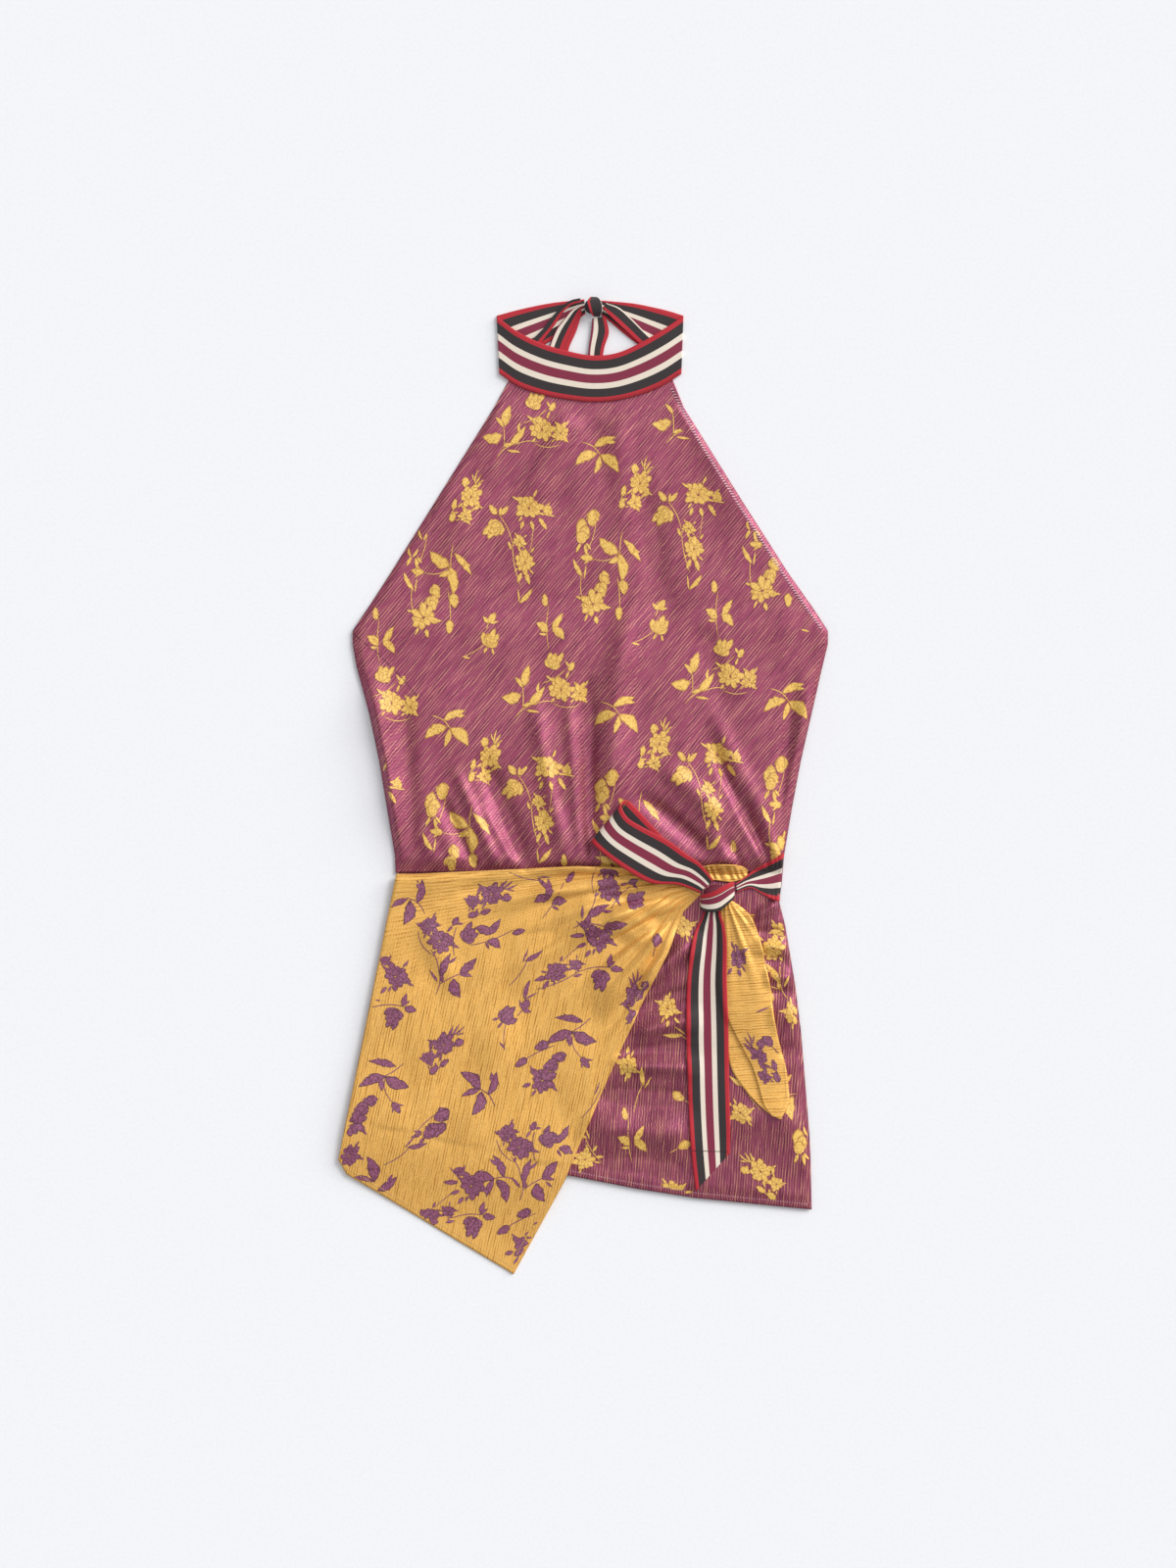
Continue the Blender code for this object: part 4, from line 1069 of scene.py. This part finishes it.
class WRAPTOP_OT_wrap(bpy.types.Operator):
    """Makes the wrap from the crepe's gold face: the fan, its fold at the waist and its end"""

    bl_idname = "wraptop.wrap"
    bl_label = "Wrap"

    def execute(self, context):
        sizes = context.scene.wrap_top_cloth
        # Crepe tones: painted shade of the sunk runs, the gold ground, the paler raised runs with their
        # painted highlight, and the gloss's tint.
        tones = ("#AE7228", sizes.gold, "#F0BE6E", "#FFE2A8")
        face = crepe("satin_crepe_reverse", *tones, YARN_TURN, gathered=True)
        across = crepe("satin_crepe_reverse_cross", *tones, 4)
        fan = cloth("flap_cloth", flap, 190, sizes.rows, face, -1, flap_map, flap_gather)
        fold = cloth("waist_fold_cloth", waist_fold, 24, 80, across, offset=0)
        end = cloth("tail_cloth", wrap_tail, 60, 110, across, offset=0)
        # Brocade tones: painted shade, ground and painted highlight of the mottle; the first also draws each
        # part's edge line.
        purple = brocade("purple_brocade", "#502234", "#7E3C58", "#9C5C7C", 78)

        def within_flap(x, y):
            distance, across_fan, spread = fan_place(x, y)
            rays, _, _ = rim_rays()
            angle = rays[0] + (rays[-1] - rays[0]) * across_fan
            u = np.interp(angle, rays, np.linspace(0, 1, len(rays)))
            far_x, far_y, _ = flap(u, np.ones_like(u))
            rim = np.hypot(far_x - FAN_CENTRE[0], far_y - FAN_CENTRE[1])
            edges = np.minimum(across_fan, 1 - across_fan) * spread * distance
            return (distance < rim - FAN_EDGE) & (edges > FAN_EDGE) & (distance > 2 * FAN_START)

        def within_tail(x, y):
            v = np.interp(-y, -WRAP_TAIL["y_fold"], np.linspace(0, 1, len(WRAP_TAIL["y_fold"])))
            return (x < smooth(WRAP_TAIL["x_fold"], v) - MM) & (x > smooth(WRAP_TAIL["x_upper"], v) + MM)

        flowers = motifs("flap_motifs", FLAP_SPRAYS, flap_top, within_flap, purple, REVERSE, True)
        lower = motifs("tail_motifs", TAIL_SPRAYS, tail_top, within_tail, purple, REVERSE, True)
        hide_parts("wrap_flap")
        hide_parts("wrap_waist_fold")
        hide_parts("wrap_tail")
        return {"FINISHED"}


RIBBONS = (
    # piece and node, rows, segments along, on the front, places across with their places in the stripes
    ("collar_front", "collar_front", COLLAR_FRONT, 160, False, "0 0, 1 1"),
    ("collar_back_left", "collar_back_left", COLLAR_BACK_LEFT, 60, False, "0 0, 1 1"),
    ("collar_back_right", "collar_back_right", COLLAR_BACK_RIGHT, 60, False, "0 0, 1 1"),
    ("neck_tie_left_outer", "neck_tie_left_outer", NECK_TIE_LEFT_OUTER, 60, False, "0 0.73, 1 1"),
    ("neck_tie_left_inner", "neck_tie_left_inner", NECK_TIE_LEFT_INNER, 60, False,
     "0 0.56, 0.7 1, 0.72 0.89, 0.78 0.9, 1 1"),
    ("neck_tie_right_inner", "neck_tie_right_inner", NECK_TIE_RIGHT_INNER, 50, False, "0 0.54, 1 1"),
    ("neck_tie_right_outer", "neck_tie_right_outer", NECK_TIE_RIGHT_OUTER, 50, False, "0 0, 1 0.33"),
    ("neck_knot", "neck_knot_band", NECK_BAND, 40, False, "0 0.02, 0.2 0.11, 0.85 0.28, 1 0.3"),
    ("waist_side", "waist_tie_side", WAIST_TIE_SIDE, 50, True, "0 0, 1 1"),
    ("loop_under", "bow_loop_under", BOW_LOOP_UNDER, 60, True, "0 0, 1 1"),
    ("loop_upper", "bow_loop_upper", BOW_LOOP_UPPER, 120, True, "0 0, 1 1"),
    ("bow_tail", "bow_tail", BOW_TAIL, 120, True, "0 0, 1 1"),
    ("waist_knot", "waist_knot_band", WAIST_BAND, 60, False,
     "0 0, 0.26 0.1, 0.3 0.42, 0.6 0.59, 0.84 0.71, 1 0.86"),
)


class WRAPTOP_OT_ribbons(bpy.types.Operator):
    """Makes the collar, its ties, the waist ribbon's bow and both knots from striped grosgrain"""

    bl_idname = "wraptop.ribbons"
    bl_label = "Ribbons"

    def execute(self, context):
        striped = grosgrain("striped_grosgrain")
        for name, node, rows, along, on_front, stripes in RIBBONS:
            across, stripe = grid(stripes).T

            def stripe_map(u, down, x, y, across=across, stripe=stripe):
                return np.interp(u, across, stripe), down

            surface = ribbon(rows, on_front, on_tail=node == "bow_tail")
            made = cloth(name + "_ribbon", surface, 24, along, striped, 0, stripe_map)
            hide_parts(node)
        # The knots' cores: dark solids near the ribbon's black and wine, partly the ribbon's own colours and
        # partly painted shade inside each knot.
        for name, code in (("neck_knot", "#2A2226"), ("waist_knot", "#701C34")):
            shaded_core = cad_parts[name]
            shaded_core.data.materials.clear()
            shaded_core.data.materials.append(thread(name + "_inside", code))
        return {"FINISHED"}


class WRAPTOP_OT_sewing(bpy.types.Operator):
    """Sews the darts, the hems, the armhole, the collar's lower edge and the ribbons' ends"""

    bl_idname = "wraptop.sewing"
    bl_label = "Sewing"

    def execute(self, context):
        codes = {"dark": "#4A2430", "pink": "#E6B4BE", "gold": "#E9C07C", "red": "#B81E2C", "wine": "#8E1C2A"}
        threads = {name: thread(name + "_thread", code) for name, code in codes.items()}
        for name, colour in (("dart_left", "dark"), ("dart_right", "dark"), ("skirt_hem", "pink")):
            sewing(name + "_stitches", *SEWING[name], front_top, threads[colour], FACE)
        points, pitch, *stitch = SEWING["armhole"]
        for colour, start in (("pink", 0), ("dark", 0.5)):
            run = (points + start * pitch * ARMHOLE_DOWN, pitch, *stitch)
            sewing(f"armhole_{colour}_stitches", *run, front_top, threads[colour], FACE)

        distance = np.linspace(*SIDE_SEAM, 60) * MM
        _, _, spread = fan_place(*fan_line(np.full(60, 0.9), distance))
        right = np.stack(fan_line(1 - HEM_WIDTH / (spread * distance), distance), axis=1) / MM
        bottom = np.stack([FAN_RIM["x"][5:], FAN_RIM["y"][5:] + HEM_WIDTH], axis=1) / MM
        hems = (("flap_side", right, flap_top), ("flap_hem", bottom, flap_top), ("tail", TAIL_SEAM, tail_top))
        for name, run, top in hems:
            sewing(name + "_stitches", run, *STITCHES["hem"], top, threads["gold"], REVERSE)

        place = np.linspace(0.02, 0.98, 80)
        edge = [
            smooth(COLLAR_FRONT[axis + "b"], place) * (1 - COLLAR_INSET)
            + smooth(COLLAR_FRONT[axis + "a"], place) * COLLAR_INSET
            for axis in "xyz"
        ]

        def collar_top(x, y):
            return np.interp(x, edge[0], edge[2]) + WALL / 2

        lower = np.stack(edge[:2], axis=1) / MM
        sewing("collar_stitches", lower, *STITCHES["collar"], collar_top, threads["wine"], STRIPED)
        top = ribbon_top(BOW_TAIL_REST)
        sewing("bow_end_stitches", BOW_END, *STITCHES["bow_end"], top, threads["dark"], STRIPED)
        top = ribbon_top(SIDE_TIE_REST)
        for name, run in BAR_TACKS.items():
            sewing("bar_tack_" + name, run, *STITCHES["bar_tack"], top, threads["red"], STRIPED)
        return {"FINISHED"}


# Suns: name, turn from +X, height above the floor and spread in degrees, and strength
LIGHTS = named_rows("key 42 38 28 1.85, top 70 76 34 0.44, low 30 16 22 1.34")
FLOOR_HALF = 6.0
SKY = 0.46
FLOOR_DROP = 0.2 * MM  # keeps the floor clear of the cloth that lies on it
SENSOR = 36  # mm
FRAME_HEIGHT = 1.4  # of the photograph, at the surface
FRAME_MIDDLE = (4.375 * MM, 1.31 * MM)
CAMERA_REACH = 20


class WRAPTOP_OT_stage(bpy.types.Operator):
    """Makes the pale floor, the soft light from the upper right and the camera straight above"""

    bl_idname = "wraptop.stage"
    bl_label = "Stage"

    def execute(self, context):
        scene = context.scene
        scene.view_settings.view_transform = "Standard"
        square = ((-1, -1), (1, -1), (1, 1), (-1, 1))
        corners = [(x * FLOOR_HALF, y * FLOOR_HALF, -FLOOR_DROP) for x, y in square]
        mesh = bpy.data.meshes.new("floor")
        mesh.from_pydata(corners, [], [(0, 1, 2, 3)])
        paper, tree, shader = blank("matt_paper")
        place = add(tree, "ShaderNodeTexCoord").outputs["Object"]
        fibres = grain(tree, place, 2.5 * MM, 2)
        colour = ramp(tree, fibres, ((0.3, linear("#EFEFF1")), (0.7, linear("#F3F3F5"))))
        finished(tree, shader, colour, {"Roughness": 0.9})
        mesh.materials.append(paper)
        floor = bpy.data.objects.new("floor", mesh)
        scene.collection.objects.link(floor)

        world = bpy.data.worlds.new("studio")
        world.use_nodes = True
        sky = world.node_tree.nodes["Background"].inputs
        sky["Color"].default_value = linear("#F4F6FA")
        sky["Strength"].default_value = SKY
        scene.world = world
        for name, turn, height, spread, strength in LIGHTS:
            light = bpy.data.lights.new(name, "SUN")
            light.energy = strength
            light.angle = np.radians(spread)
            made = bpy.data.objects.new(name, light)
            turn, height = np.radians(turn), np.radians(height)
            level = np.cos(height)
            ray = -Vector((np.cos(turn) * level, np.sin(turn) * level, np.sin(height)))
            made.rotation_euler = ray.to_track_quat("-Z", "Y").to_euler()
            scene.collection.objects.link(made)

        camera = bpy.data.cameras.new("camera")
        distance = scene.wrap_top_stage.distance
        camera.sensor_width = SENSOR
        camera.lens = SENSOR * distance / FRAME_HEIGHT
        camera.clip_end = CAMERA_REACH
        made = bpy.data.objects.new("camera", camera)
        made.location = (*FRAME_MIDDLE, distance)
        scene.collection.objects.link(made)
        scene.camera = made
        return {"FINISHED"}


class WRAPTOP_PT_panel(bpy.types.Panel):
    """Lists the steps that dress the wrap top"""

    bl_idname = "WRAPTOP_PT_panel"
    bl_label = "Wrap top"
    bl_space_type = "VIEW_3D"
    bl_region_type = "UI"
    bl_category = "Wrap Top"

    def draw(self, context):
        for group in (context.scene.wrap_top_cloth, context.scene.wrap_top_stage):
            for key in group.__annotations__:
                self.layout.prop(group, key)
        for operator in OPERATORS:
            self.layout.operator(operator.bl_idname)


OPERATORS = (WRAPTOP_OT_panels, WRAPTOP_OT_wrap, WRAPTOP_OT_ribbons, WRAPTOP_OT_sewing, WRAPTOP_OT_stage)
CLASSES = (WrapTopCloth, WrapTopStage, *OPERATORS, WRAPTOP_PT_panel)


def register():
    for item in CLASSES:
        bpy.utils.register_class(item)
    bpy.types.Scene.wrap_top_cloth = bpy.props.PointerProperty(type=WrapTopCloth)
    bpy.types.Scene.wrap_top_stage = bpy.props.PointerProperty(type=WrapTopStage)


def unregister():
    del bpy.types.Scene.wrap_top_cloth
    del bpy.types.Scene.wrap_top_stage
    for item in reversed(CLASSES):
        bpy.utils.unregister_class(item)


def main():
    register()
    for operator in OPERATORS:
        area, name = operator.bl_idname.split(".")
        getattr(getattr(bpy.ops, area), name)()


if __name__ == "__main__":
    main()
